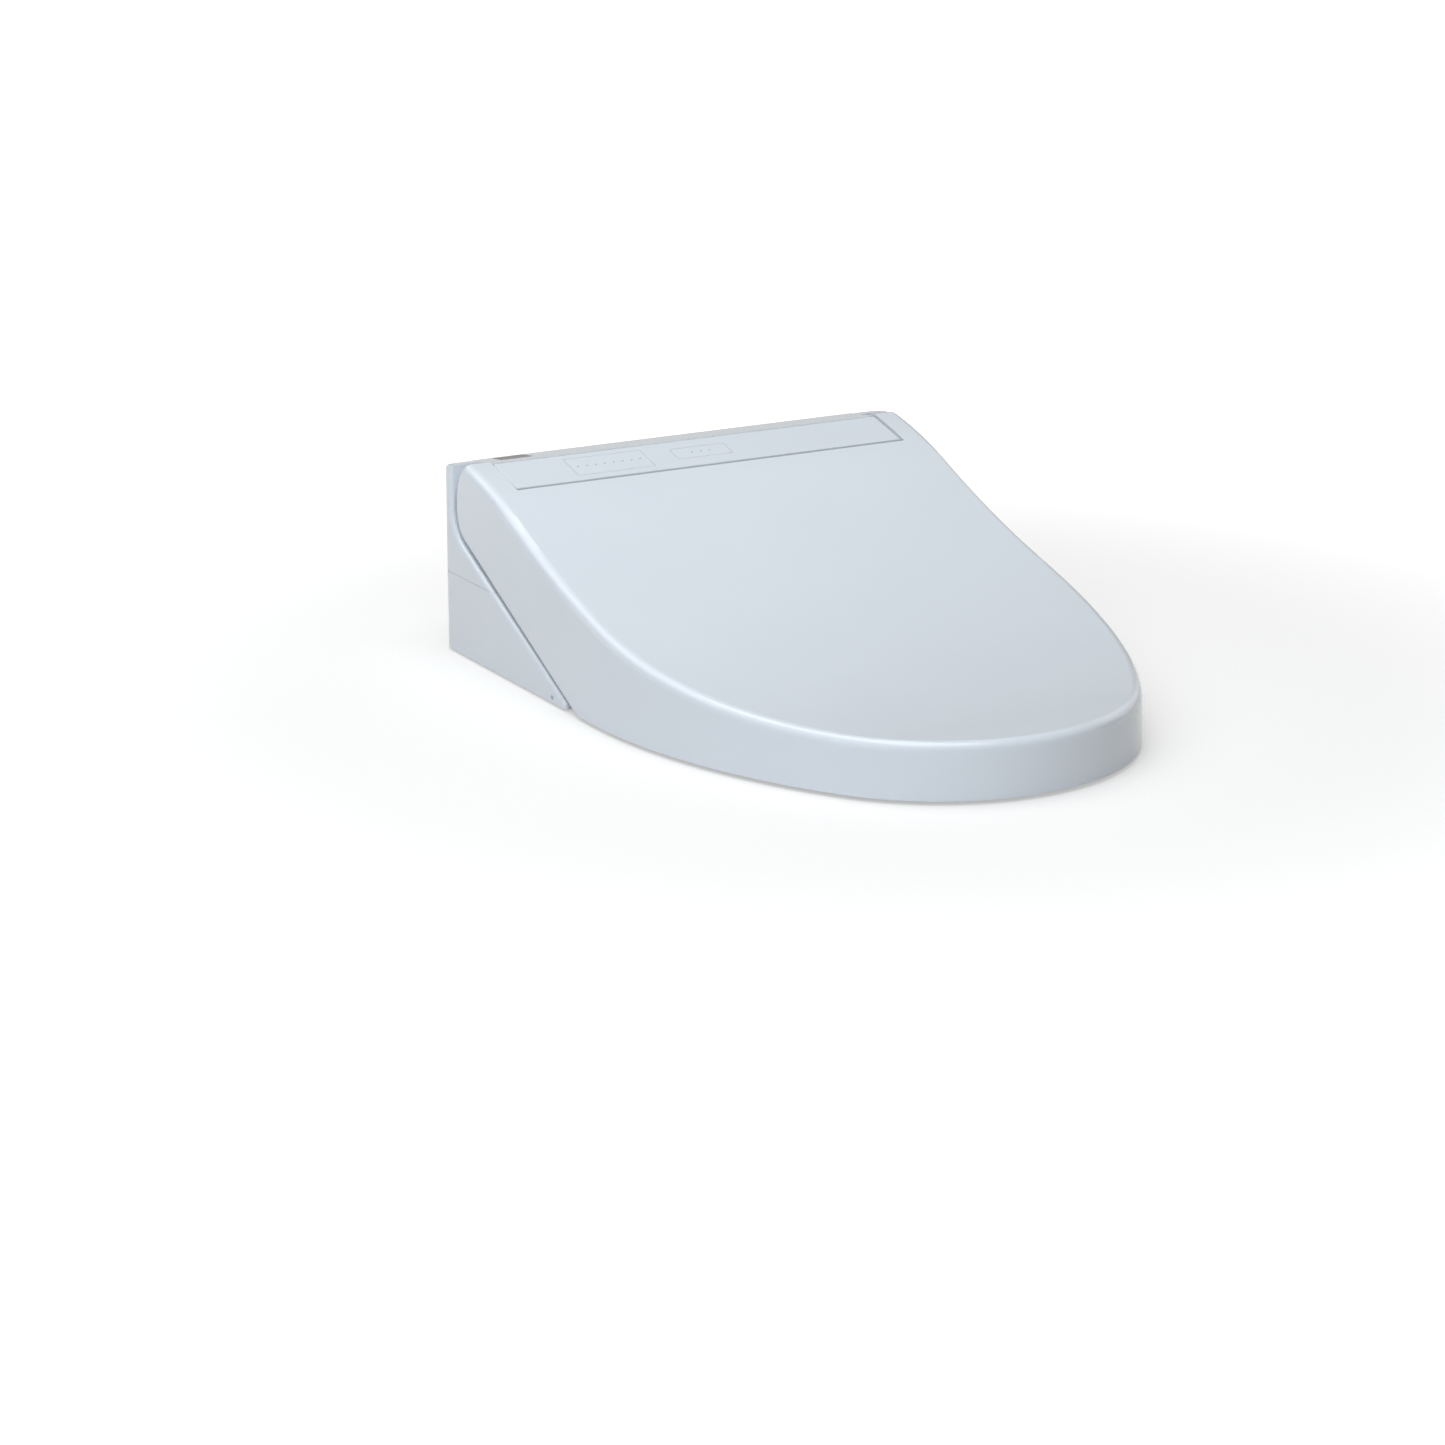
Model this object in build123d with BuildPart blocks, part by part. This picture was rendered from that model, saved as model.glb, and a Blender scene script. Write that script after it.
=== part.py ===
from build123d import *
from math import acos, asin, atan2, cos, degrees, hypot, pi, radians, sin, sqrt, tan
import os

# Electric bidet seat: a lid and a heated seat hinged on a casing that slides onto a bolted plate.
# Millimetres. +X is right as seen from the front, the front points to -Y, and Z rises from the rim plane.
# The origin lies midway between the two bolt slots of the mounting plate, on the rim plane.

# Outline of the lid seen from above
LID_HALF_WIDTH = 191.5  # at the skirt's lower edge
LID_FRONT = -481.0
LID_FRONT_RADIUS = 148.0
LID_SIDE_END = -190.0  # where the straight sides begin to curve inwards
LID_DRAFT = 1.5  # degrees that the skirt leans inwards
# Outline of the lid seen from the side
HINGE_Y = 1.0
HINGE_Z = 120.0
EAR_RADIUS = 32.0  # rear of the lid's ears, an arc about the hinge line
EAR_CORNER_RADIUS = 9.0  # where that arc meets the top
CROWN_RADIUS = 330.0  # arc of the top near the ears
CROWN_END = (21.0, 147.0)  # a point of that arc, past the ears
CROWN_SLOPE = 10.0  # degrees, its slope there
LID_SLOPE = 24.0  # degrees, steepest slope of the top, where the hollow sweep meets the crown
LID_FRONT_TOP = 42.5  # height of the level front part
LID_BOTTOM = 2.5
LID_CORNER_RADIUS = 28.0  # lower rear corner of the lid's sides
LID_EDGE_RADIUS = 7.0
LID_WALL = 3.2
LID_GAP = 1.5  # between the lid's slanted edge and the casing

# Casing
LID_OVERHANG = 1.5  # of the lid's lower edge beyond the casing's side
CASE_HALF_WIDTH = LID_HALF_WIDTH - LID_OVERHANG
CASE_REAR = 50.0
CASE_BOTTOM = 1.5
CASE_WALL = 3.0
CASE_CORNER_RADIUS = 10.0
CASE_EDGE_RADIUS = 3.0
WEDGE_TIP = -159.2  # where the line of the casing's slanted top meets the rim plane
WEDGE_ANGLE = 25.6
TIP_HEIGHT = 5.5  # height at which the slanted top turns down at the tip
TIP_RADIUS = 3.0
RECESS_GAP = 1.3  # between the lid's ears and the rear wall's front face
DECK_REAR_Z = 140.5
SEAM_Z = 60.5  # level seam between the casing's halves
NOSE_SEAM = -42.0  # upright seam in front of which the side nose covers lie
NOSE_WIDTH = 40.0
FRONT_WALL = -88.0  # front wall of the casing between the nose covers
SEAM_CHAMFER = 0.5
DRIP_HOLE_RADIUS = 1.7
DRIP_HOLE_Y = -127.0
DRIP_HOLE_Z = 5.2

# Top panel, the flat strip between the lid's ears
EAR_WIDTH = 25.5  # from the casing's side to the panel's end
PANEL_HALF_WIDTH = CASE_HALF_WIDTH - EAR_WIDTH
PANEL_FRONT = (-25.0, 135.0)
PANEL_REAR = (14.0, 145.2)
PANEL_THICKNESS = 4.0
PANEL_EDGE_RADIUS = 1.0
PANEL_SIDE_GAP = 1.5  # to the lid's ears
LIP_Y = -28.5  # rear edge of the lid in front of the panel
WINDOW_SIZE = (64.0, 26.0)
WINDOW_X = -78.0
TOUCH_SIZE = (46.0, 16.0)
TOUCH_X = 0.0
INSET_DEPTH = 1.2  # of the windows in the panel
INSET_FIT = 0.35  # groove around a window
INSET_CORNER = 1.5
RECEIVER_SIZE = (26.0, 18.0)
RECEIVER_INSET = 28.0  # centre of the receiver window, from the panel's left end
RECEIVER_X = RECEIVER_INSET - PANEL_HALF_WIDTH
RECEIVER_REAR_MARGIN = 2.0
BLOCK_BACK = 29.0  # casing's front face under the panel, from the hinge line
BLOCK_TOP = 8.0  # where that face turns towards the panel, above the hinge line
BLOCK_FOOT = 70.0  # how far the block reaches down into the slanted body

# Seat
SEAT_CLEARANCE = 3.0  # between the seat's side and the lid's skirt
SEAT_DROP = 7.2  # seat's top below the lid's top
SEAT_BOTTOM = 8.0
SEAT_GAP = 2.5  # above the casing's slanted top
SEAT_BACK = 32.5  # seat's rear face, from the hinge line
SEAT_WALL = 3.5
SEAT_FIT = 0.3
SEAT_EDGE_RADIUS = 6.0
SEAT_RIM_RADIUS = 6.0  # upper edge of the hole's dish
HEATER_THICKNESS = 1.0
HEATER_GAP = 0.2
HOLE_Y = -280.0
HOLE_HALF_WIDTH = 105.0
HOLE_HALF_LENGTH = 132.0
DISH_START_Z = 16.0
DISH_ANGLE = 30.0
LUG_RADIUS = 14.0
LUG_WIDTH = 10.0
BUMPER_SIZE = (26.0, 12.0)
BUMPER_CORNER = 4.0
BUMPER_INSET = 51.5  # rear bumpers' centres, from the lid's side
BUMPER_PLACES = [(95.0, -395.0), (LID_HALF_WIDTH - BUMPER_INSET, -215.0)]

# Hinge
PIN_RADIUS = 6.0
PIN_RUNNING = 0.05
PIN_COVER = 4.0  # from the pin's end to the casing's side
CHEEK_GAP = 1.5  # between the seat's lug and the lid's cheek
CHEEK_SEAT_GAP = 2.0  # between the cheek's disc and the seat's rear face
DAMPER_RADIUS = 13.0
DAMPER_LENGTH = 62.0
DAMPER_NECK_RADIUS = 9.0
DAMPER_NECK_LENGTH = 8.0
LID_PAD_RADIUS = 7.0
LID_PAD_GAP = 0.3
LID_PAD_INSET = 41.5  # rear pads' centres, from the lid's side
LID_PAD_PLACES = [(70.0, -440.0), (LID_HALF_WIDTH - LID_PAD_INSET, -180.0)]

# Mounting plate and its pocket
BOLT_SPACING = 140.0
SLOT_WIDTH = 10.0
SLOT_LENGTH = 30.0
PLATE_HALF_WIDTH = 100.0
PLATE_FRONT = -38.0
PLATE_REAR = 46.0
PLATE_THICKNESS = 6.0
PLATE_TONGUE = 6.0  # overhang of the plate's upper half, which the rails grip
PLATE_TONGUE_Z = 3.2
PLATE_CORNER_RADIUS = 5.0
PLATE_FIT = 0.4
POCKET_TOP = 12.0
POCKET_ROOF = 2.5
PAD_RADIUS = 9.0
PAD_PLACES = [(CASE_HALF_WIDTH - NOSE_WIDTH / 2, -100.0), (CASE_HALF_WIDTH - NOSE_WIDTH, 12.0)]

# Spray wand and its drive
WAND_TIP_Y = -86.0
WAND_TIP_Z = 20.0
WAND_ANGLE = 16.0
WAND_RADIUS = 7.0
WAND_LENGTH = 125.0
WAND_BORE = 2.5
TIP_LENGTH = 18.0
TIP_ROUNDING = 3.0
SPRAY_RADIUS = 0.8
SPRAY_PLACES = [6.0, 9.5, 13.0]
GEAR_MODULE = 1.0
PINION_TEETH = 12
PRESSURE_ANGLE = 20.0
RACK_ADDENDUM = 0.7  # short, so that the pinion's few teeth need no undercut
RACK_DEDENDUM = 1.3
PINION_ROOT_GAP = 0.25
RACK_TEETH = 20
RACK_LEAD = 2  # pitches of rack in front of the pinion
RACK_PITCH_W = 7.9  # pitch line of the rack above the wand's axis
GEAR_BACKLASH = 0.15
GEAR_WIDTH = 6.0
PINION_U = 64.0  # pinion's place along the wand
MOTOR_SHAFT_RADIUS = 1.5
STEPPER_RADIUS = 7.0
STEPPER_LENGTH = 18.0
STEPPER_X = 11.5
BRACKET_THICKNESS = 2.5
GUIDE_WALL = 2.0
GUIDE_FIT = 0.3
GUIDE_START = 6.0
GUIDE_END = 128.0
GUIDE_RISE = 2.0  # height of the guide's sides above the wand's axis
GUIDE_FEET = [-55.0, 20.0]
GUIDE_FOOT = (12.0, 10.0)
PORT_SIZE = (19.0, 19.0)
PORT_CORNER = 6.0
PORT_Z = 20.0

# Dryer
BLOWER_X = 66.0
BLOWER_Y = 8.0
BLOWER_RADIUS = 34.0
BLOWER_HEIGHT = 30.0
BLOWER_WALL = 2.0
INTAKE_RADIUS = 3.0
INTAKE_CIRCLE = 22.0
INTAKE_COUNT = 8
DUCT_WIDTH = 30.0
DUCT_HEIGHT = 15.0
IMPELLER_RADIUS = 27.0
IMPELLER_HEIGHT = 20.0
IMPELLER_DISC = 1.5
IMPELLER_GAP = 2.0
IMPELLER_HUB = 5.0
IMPELLER_BLADES = 18
BLADE_LENGTH = 9.0
BLADE_THICKNESS = 1.2
BLADE_LEAN = 35.0
DRYER_MOTOR_RADIUS = 15.0
DRYER_MOTOR_HEIGHT = 18.0
HEATING_LENGTH = 36.0
HEATING_Y = -42.0
HEATING_FIT = 0.3
HEATING_CELLS = 5
HEATING_WEB = 1.0
FLAP_THICKNESS = 2.0
FLAP_FIT = 0.4
FLAP_PIN_RADIUS = 0.8
FLAP_PIN_LENGTH = 1.5
FLAP_AXIS_DROP = 1.6  # pivot below the outlet's upper edge

# Water side
TANK_INSET = 32.0  # from the casing's side
TANK_LOW = (TANK_INSET - CASE_HALF_WIDTH, -2.0)
TANK_HIGH = (-54.0, 40.0)
TANK_HEIGHT = 74.0
TANK_WALL = 3.0
TANK_CORNER_RADIUS = 8.0
SPIGOT_RADIUS = 4.0
SPIGOT_BORE = 2.5
SPIGOT_LENGTH = 8.0
ELEMENT_RADIUS = 4.0
ELEMENT_SPACING = 22.0
ELEMENT_MARGIN = 34.0  # what the tank is longer than the element's straight legs
ELEMENT_Z = 38.0
ELEMENT_FIT = 0.1
ELEMENT_FLANGE = (4.0, 38.0, 20.0)
PUMP_RADIUS = 9.0
PUMP_LENGTH = 52.0
PUMP_X = -34.0
PUMP_Y = -4.0
PUMP_LIFT = 2.0  # foot under the pump
PUMP_FOOT = (16.0, 30.0)
INLET_INSET = 47.0  # from the casing's right side
INLET_X = CASE_HALF_WIDTH - INLET_INSET
INLET_Z = 26.0
INLET_RADIUS = 10.4
INLET_LENGTH = 20.0
INLET_BORE = 6.0
INLET_NECK = 8.0
INLET_FLANGE_RADIUS = 13.0
INLET_FLANGE = 2.5
NECK_FIT = 0.1  # of the inlet and the gland in the bay's wall
BAY_SIZE = (50.0, 40.0)
BAY_INSET = 57.0
BAY_X = CASE_HALF_WIDTH - BAY_INSET
BAY_DEPTH = 24.0
GLAND_INSET = 72.0
GLAND_X = CASE_HALF_WIDTH - GLAND_INSET
GLAND_RADIUS = 7.0
GLAND_NECK = 5.0
GLAND_BORE = 3.2
GLAND_LENGTH = 12.0
GLAND_NUT = 4.0
VALVE_SIZE = (24.0, 28.0, 34.0)
COIL_RADIUS = 9.0
COIL_HEIGHT = 15.0

# Filter cartridge and release button, on the right side
FILTER_Y = -6.0
FILTER_Z = 30.0
FILTER_SIZE = (26.0, 34.0, 26.0)  # depth behind the wall, length and height of the cartridge
FILTER_FIT = 0.4
FILTER_SLOTS = 4
FILTER_SLOT = (4.0, 18.0)
GRIP_RADIUS = 14.0
GRIP_DEPTH = 2.0
SLEEVE_WALL = 2.0
BUTTON_Y = 28.0
BUTTON_Z = 22.0
BUTTON_SIZE = (16.0, 9.0)
BUTTON_DEPTH = 9.0
BUTTON_FLANGE = 2.0
BUTTON_FIT = 0.3

# Electronics and screws
BOARD_SIZE = (176.0, 56.0, 1.6)
BOARD_Z = 102.0
# Chips on the board: x, length, depth and height
BOARD_CHIPS = [(-50.0, 24.0, 14.0, 3.0), (0.0, 18.0, 18.0, 6.0), (45.0, 12.0, 20.0, 9.0)]
SUPPLY_SIZE = (84.0, 48.0, 26.0)
SUPPLY_X = 94.0
SUPPLY_Z = 72.0
SUPPLY_EDGE = 2.0
POST_RADIUS = 4.0
POST_MARGIN = 20.0  # posts' centres from the casing's side, and from the plate
REAR_POST = (CASE_HALF_WIDTH - POST_MARGIN, 40.0)
FRONT_POST = (PLATE_HALF_WIDTH + POST_MARGIN, -22.0)
SCREW_RADIUS = 1.5
SCREW_FIT = 0.1
SCREW_HEAD_RADIUS = 3.2
SCREW_HEAD_HEIGHT = 2.0
SCREW_LENGTH = 14.0

# Worked out from the values above
TOUCH = 0.01  # points closer than this lie together
SLOPE = radians(LID_SLOPE)
WEDGE = radians(WEDGE_ANGLE)
FAR = 2 * CASE_HALF_WIDTH  # longer than any cut needs
EAR_REAR = HINGE_Y + EAR_RADIUS
RECESS_Y = EAR_REAR + RECESS_GAP
CROWN_Y = CROWN_END[0] + CROWN_RADIUS * sin(radians(CROWN_SLOPE))
CROWN_Z = CROWN_END[1] - CROWN_RADIUS * cos(radians(CROWN_SLOPE))
SWEEP_RADIUS = (CROWN_Z + CROWN_RADIUS * cos(SLOPE) - LID_FRONT_TOP) / (1 - cos(SLOPE))
SWEEP_Y = CROWN_Y - (CROWN_RADIUS + SWEEP_RADIUS) * sin(SLOPE)
SWEEP_Z = LID_FRONT_TOP + SWEEP_RADIUS
FRONT_CENTRE = LID_FRONT + LID_FRONT_RADIUS
SIDE_RISE = LID_SIDE_END - FRONT_CENTRE
SIDE_RADIUS = (LID_HALF_WIDTH**2 + SIDE_RISE**2 - LID_FRONT_RADIUS**2) / (
    2 * (LID_HALF_WIDTH - LID_FRONT_RADIUS)
)
SIDE_ANGLE = degrees(atan2(SIDE_RISE, SIDE_RADIUS - LID_HALF_WIDTH))
LID_TOP = CROWN_END[1]
SEAT_INSET = LID_WALL + SEAT_CLEARANCE
NOSE_INNER = CASE_HALF_WIDTH - NOSE_WIDTH
FLOOR_Z = CASE_BOTTOM + CASE_WALL
PLATEAU_Z = POCKET_TOP + POCKET_ROOF
LUG_INNER = PANEL_HALF_WIDTH + PANEL_SIDE_GAP
CHEEK_INNER = LUG_INNER + LUG_WIDTH + CHEEK_GAP
PIN_END = CASE_HALF_WIDTH - PIN_COVER
INNER_REAR = CASE_REAR - CASE_WALL
INNER_SIDE = CASE_HALF_WIDTH - CASE_WALL
BLOCK_INNER = PANEL_HALF_WIDTH - CASE_WALL
BAY_FRONT = CASE_REAR - BAY_DEPTH
POSTS = [REAR_POST, FRONT_POST]
PANEL_LENGTH = hypot(PANEL_REAR[0] - PANEL_FRONT[0], PANEL_REAR[1] - PANEL_FRONT[1])
PANEL_TILT = atan2(PANEL_REAR[1] - PANEL_FRONT[1], PANEL_REAR[0] - PANEL_FRONT[0])
PANEL_TOP = Plane(
    origin=(0, PANEL_FRONT[0], PANEL_FRONT[1]), x_dir=(1, 0, 0), z_dir=(0, -sin(PANEL_TILT), cos(PANEL_TILT))
)
DECK_FALL = atan2(PANEL_REAR[1] - DECK_REAR_Z, CASE_REAR - PANEL_REAR[0])
DECK_LENGTH = hypot(PANEL_REAR[1] - DECK_REAR_Z, CASE_REAR - PANEL_REAR[0])
DECK = Plane(
    origin=(0, PANEL_REAR[0], PANEL_REAR[1]), x_dir=(1, 0, 0), z_dir=(0, sin(DECK_FALL), cos(DECK_FALL))
)
RECEIVER_Y = DECK_LENGTH - RECEIVER_REAR_MARGIN - RECEIVER_SIZE[1] / 2
TILT = radians(WAND_ANGLE)
DRIVE = Plane(origin=(0, WAND_TIP_Y, WAND_TIP_Z), x_dir=(0, cos(TILT), sin(TILT)), z_dir=(1, 0, 0))
WAND = Plane(origin=(0, WAND_TIP_Y, WAND_TIP_Z), x_dir=(-1, 0, 0), z_dir=(0, cos(TILT), sin(TILT)))
GEAR_PITCH = pi * GEAR_MODULE
PINION_RADIUS = GEAR_MODULE * PINION_TEETH / 2
PINION_BASE = PINION_RADIUS * cos(radians(PRESSURE_ANGLE))
PINION_TIP = PINION_RADIUS + GEAR_MODULE
PINION_ROOT = PINION_RADIUS - RACK_ADDENDUM - PINION_ROOT_GAP
PINION_W = RACK_PITCH_W + PINION_RADIUS
RACK_ROOT = RACK_PITCH_W - RACK_DEDENDUM
RACK_START = PINION_U - RACK_LEAD * GEAR_PITCH
GUIDE_HALF = WAND_RADIUS + GUIDE_FIT + GUIDE_WALL
DUCT_X = BLOWER_X + BLOWER_RADIUS - DUCT_WIDTH / 2
DUCT_Z = PLATEAU_Z + DUCT_HEIGHT / 2
DUCT_INNER = (DUCT_WIDTH - 2 * BLOWER_WALL, DUCT_HEIGHT - 2 * BLOWER_WALL)
DUCT_END = FRONT_WALL + CASE_WALL
BLOWER_TOP = PLATEAU_Z + BLOWER_HEIGHT
IMPELLER_Z = PLATEAU_Z + BLOWER_WALL + IMPELLER_GAP
FLAP_Y = FRONT_WALL + CASE_WALL / 2
FLAP_AXIS_Z = DUCT_Z + DUCT_INNER[1] / 2 - FLAP_AXIS_DROP
FLAP_HALF = DUCT_INNER[0] / 2 - FLAP_FIT
TANK_CENTRE = ((TANK_LOW[0] + TANK_HIGH[0]) / 2, (TANK_LOW[1] + TANK_HIGH[1]) / 2)
TANK_SIZE = (TANK_HIGH[0] - TANK_LOW[0], TANK_HIGH[1] - TANK_LOW[1])
ELEMENT_LENGTH = TANK_SIZE[0] - ELEMENT_MARGIN
PUMP_Z = PLATEAU_Z + PUMP_LIFT + PUMP_RADIUS


def wedge_z(y, gap=0.0):
    """Height of the line that lies a gap above the casing's slanted top, at a given Y."""
    return (y - WEDGE_TIP) * tan(WEDGE) + gap / cos(WEDGE)


def wedge_y(z, gap=0.0):
    """The Y at which that line has a given height."""
    return WEDGE_TIP + (z - gap / cos(WEDGE)) / tan(WEDGE)


def from_hinge(along, up):
    """Point beside the hinge line: along the slanted top towards the rear, and square to it."""
    return (
        HINGE_Y + along * cos(WEDGE) - up * sin(WEDGE),
        HINGE_Z + along * sin(WEDGE) + up * cos(WEDGE),
    )


def deck_z(y):
    """Height of the rear deck, which falls from the panel's rear edge to the casing's rear face."""
    return PANEL_REAR[1] - tan(DECK_FALL) * (y - PANEL_REAR[0])


def panel_point(along, depth):
    """Point of the top panel seen from the side: along it from its front edge, and below its top."""
    return (
        PANEL_FRONT[0] + along * cos(PANEL_TILT) + depth * sin(PANEL_TILT),
        PANEL_FRONT[1] + along * sin(PANEL_TILT) - depth * cos(PANEL_TILT),
    )


def both_sides(places):
    """Each place and its mirror image."""
    return [(side * x, y) for x, y in places for side in (-1, 1)]


def plan(inset):
    """The lid's outline from above, drawn in by an inset: straight sides, side arcs and a front arc."""
    half = LID_HALF_WIDTH - inset
    side = SIDE_RADIUS - inset
    with BuildSketch() as outline:
        with BuildLine():
            Line((half, CASE_REAR), (-half, CASE_REAR))
            Line((-half, CASE_REAR), (-half, LID_SIDE_END))
            CenterArc((side - half, LID_SIDE_END), side, 180, SIDE_ANGLE)
            CenterArc((0, FRONT_CENTRE), LID_FRONT_RADIUS - inset, 180 + SIDE_ANGLE, 180 - 2 * SIDE_ANGLE)
            CenterArc((half - side, LID_SIDE_END), side, -SIDE_ANGLE, SIDE_ANGLE)
            Line((half, LID_SIDE_END), (half, CASE_REAR))
        make_face()
    return outline.sketch


def ear_angle(drop):
    """Angle about the hinge line at which the ear's arc meets the crown, both lowered by a drop."""
    ear = EAR_RADIUS - drop
    apart = hypot(CROWN_Y - HINGE_Y, CROWN_Z - HINGE_Z)
    turn = acos((ear**2 + apart**2 - (CROWN_RADIUS - drop) ** 2) / (2 * ear * apart))
    return atan2(CROWN_Z - HINGE_Z, CROWN_Y - HINGE_Y) + turn


def ear_corner(drop):
    """The point where they meet."""
    angle = ear_angle(drop)
    return (HINGE_Y + (EAR_RADIUS - drop) * cos(angle), HINGE_Z + (EAR_RADIUS - drop) * sin(angle))


def hood_line(drop, end_slope=CROWN_SLOPE):
    """The lid's top line lowered by a drop: level front, hollow sweep, and crown up to a slope."""
    level = LID_FRONT_TOP - drop
    Line((LID_FRONT - FAR, level), (SWEEP_Y, level))
    CenterArc((SWEEP_Y, SWEEP_Z), SWEEP_RADIUS + drop, 270, LID_SLOPE)
    CenterArc((CROWN_Y, CROWN_Z), CROWN_RADIUS - drop, 90 + LID_SLOPE, end_slope - LID_SLOPE)


def hood_end(drop):
    """Rear end of that line."""
    slope = radians(CROWN_SLOPE)
    return (CROWN_Y - (CROWN_RADIUS - drop) * sin(slope), CROWN_Z + (CROWN_RADIUS - drop) * cos(slope))


def hood_z(y, drop):
    """Height of that line, and of the ear's arc behind it, at a given Y."""
    if y < SWEEP_Y:
        return LID_FRONT_TOP - drop
    if y < SWEEP_Y + (SWEEP_RADIUS + drop) * sin(SLOPE):
        return SWEEP_Z - sqrt((SWEEP_RADIUS + drop) ** 2 - (y - SWEEP_Y) ** 2)
    if y < ear_corner(drop)[0]:
        return CROWN_Z + sqrt((CROWN_RADIUS - drop) ** 2 - (y - CROWN_Y) ** 2)
    return HINGE_Z + sqrt(max((EAR_RADIUS - drop) ** 2 - (y - HINGE_Y) ** 2, 0))


def lid_line(drop):
    """The lid's top line and the ear's arc, which meet in a corner at the rear."""
    slope = degrees(asin((CROWN_Y - ear_corner(drop)[0]) / (CROWN_RADIUS - drop)))
    hood_line(drop, slope)
    CenterArc((HINGE_Y, HINGE_Z), EAR_RADIUS - drop, 0, degrees(ear_angle(drop)))


def hood(inset, profile):
    """Drafted prism on the plan, kept inside a profile drawn from the side."""
    outline = plan(inset)
    with BuildPart() as body:
        with BuildSketch():
            add(outline)
        extrude(amount=LID_TOP + LID_EDGE_RADIUS, taper=LID_DRAFT)
        with BuildSketch(Plane.YZ):
            add(profile)
        extrude(amount=FAR, both=True, mode=Mode.INTERSECT)
    return body.part


def band(upper, lower):
    """Layer between two drops below the lid's top, over the whole width."""
    with BuildPart() as body:
        with BuildSketch(Plane.YZ):
            with BuildLine():
                hood_line(upper)
                Line((LID_FRONT - FAR, LID_FRONT_TOP - upper), (LID_FRONT - FAR, LID_FRONT_TOP - lower))
                hood_line(lower)
                Line(hood_end(upper), hood_end(lower))
            make_face()
        extrude(amount=FAR, both=True)
    return body.part


def top_edges(part, drop):
    """Edges of a hooded body that run along its top line, with the ear's rounded corner just below it."""
    found = ShapeList()
    for edge in part.edges():
        middle = edge.position_at(0.5)
        if -TOUCH < hood_z(middle.Y, drop) - middle.Z < EAR_CORNER_RADIUS / 8:
            found.append(edge)
    return found


def seat_section(drop, rise, back):
    """The seat from the side: top below the lid's, underside raised, rear face back from the hinge line."""
    with BuildSketch() as section:
        with BuildLine():
            hood_line(drop)
            Polyline(
                hood_end(drop),
                (hood_end(drop)[0], wedge_z(hood_end(drop)[0], SEAT_GAP + rise)),
                (wedge_y(SEAT_BOTTOM + rise, SEAT_GAP + rise), SEAT_BOTTOM + rise),
                (LID_FRONT - FAR, SEAT_BOTTOM + rise),
                (LID_FRONT - FAR, LID_FRONT_TOP - drop),
            )
        make_face()
        with Locations(from_hinge(-back, 0)):
            Rectangle(FAR, FAR, rotation=WEDGE_ANGLE, align=(Align.MIN, Align.CENTER), mode=Mode.SUBTRACT)
    return section.sketch


def bowl_opening(grow):
    """Column of the seat's oval hole, which widens upwards into the dish, grown by an amount."""
    spread = (LID_TOP - DISH_START_Z) * tan(radians(DISH_ANGLE))
    with BuildPart() as column:
        with BuildSketch():
            with Locations((0, HOLE_Y)):
                Ellipse(HOLE_HALF_WIDTH + grow, HOLE_HALF_LENGTH + grow)
        extrude(amount=DISH_START_Z)
        with BuildSketch(Plane.XY.offset(DISH_START_Z)):
            with Locations((0, HOLE_Y)):
                Ellipse(HOLE_HALF_WIDTH + grow, HOLE_HALF_LENGTH + grow)
        with BuildSketch(Plane.XY.offset(LID_TOP)):
            with Locations((0, HOLE_Y)):
                Ellipse(HOLE_HALF_WIDTH + grow + spread, HOLE_HALF_LENGTH + grow + spread)
        loft()
    return column.part


def case_section(inset):
    """The casing's slanted body from the side: rear wall, deck, recess for the lid's ears, slant and tip."""
    with BuildSketch() as section:
        with BuildLine():
            Polyline(
                (CASE_REAR, CASE_BOTTOM),
                (CASE_REAR, DECK_REAR_Z),
                (RECESS_Y, deck_z(RECESS_Y)),
                (RECESS_Y, wedge_z(RECESS_Y)),
                (wedge_y(TIP_HEIGHT), TIP_HEIGHT),
                (wedge_y(TIP_HEIGHT), CASE_BOTTOM),
                close=True,
            )
        make_face()
        corners = section.vertices()
        fillet(corners.sort_by_distance((RECESS_Y, wedge_z(RECESS_Y)))[0], LID_CORNER_RADIUS + RECESS_GAP)
        fillet(corners.sort_by_distance((wedge_y(TIP_HEIGHT), TIP_HEIGHT))[0], TIP_RADIUS)
        if inset > 0:
            offset(amount=-inset, kind=Kind.INTERSECTION)
    return section.sketch


def block_section(inset):
    """The raised block under the top panel, from the side."""
    with BuildSketch() as section:
        with BuildLine():
            Polyline(
                (CASE_REAR, from_hinge(-BLOCK_BACK, -BLOCK_FOOT)[1]),
                (CASE_REAR, DECK_REAR_Z),
                (PANEL_REAR[0], PANEL_REAR[1]),
                panel_point(PANEL_LENGTH, PANEL_THICKNESS),
                panel_point(0, PANEL_THICKNESS),
                from_hinge(-BLOCK_BACK, BLOCK_TOP),
                from_hinge(-BLOCK_BACK, -BLOCK_FOOT),
                close=True,
            )
        make_face()
        if inset > 0:
            offset(amount=-inset, kind=Kind.INTERSECTION)
    return section.sketch


def case_area(inset):
    """The casing from above without the two nose covers, drawn in at the front by an inset."""
    with BuildSketch() as area:
        with Locations((0, NOSE_SEAM + inset)):
            Rectangle(2 * FAR, FAR, align=(Align.CENTER, Align.MIN))
        with Locations((0, FRONT_WALL + inset)):
            Rectangle(2 * (NOSE_INNER - inset), FAR, align=(Align.CENTER, Align.MIN))
    return area.sketch


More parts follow.
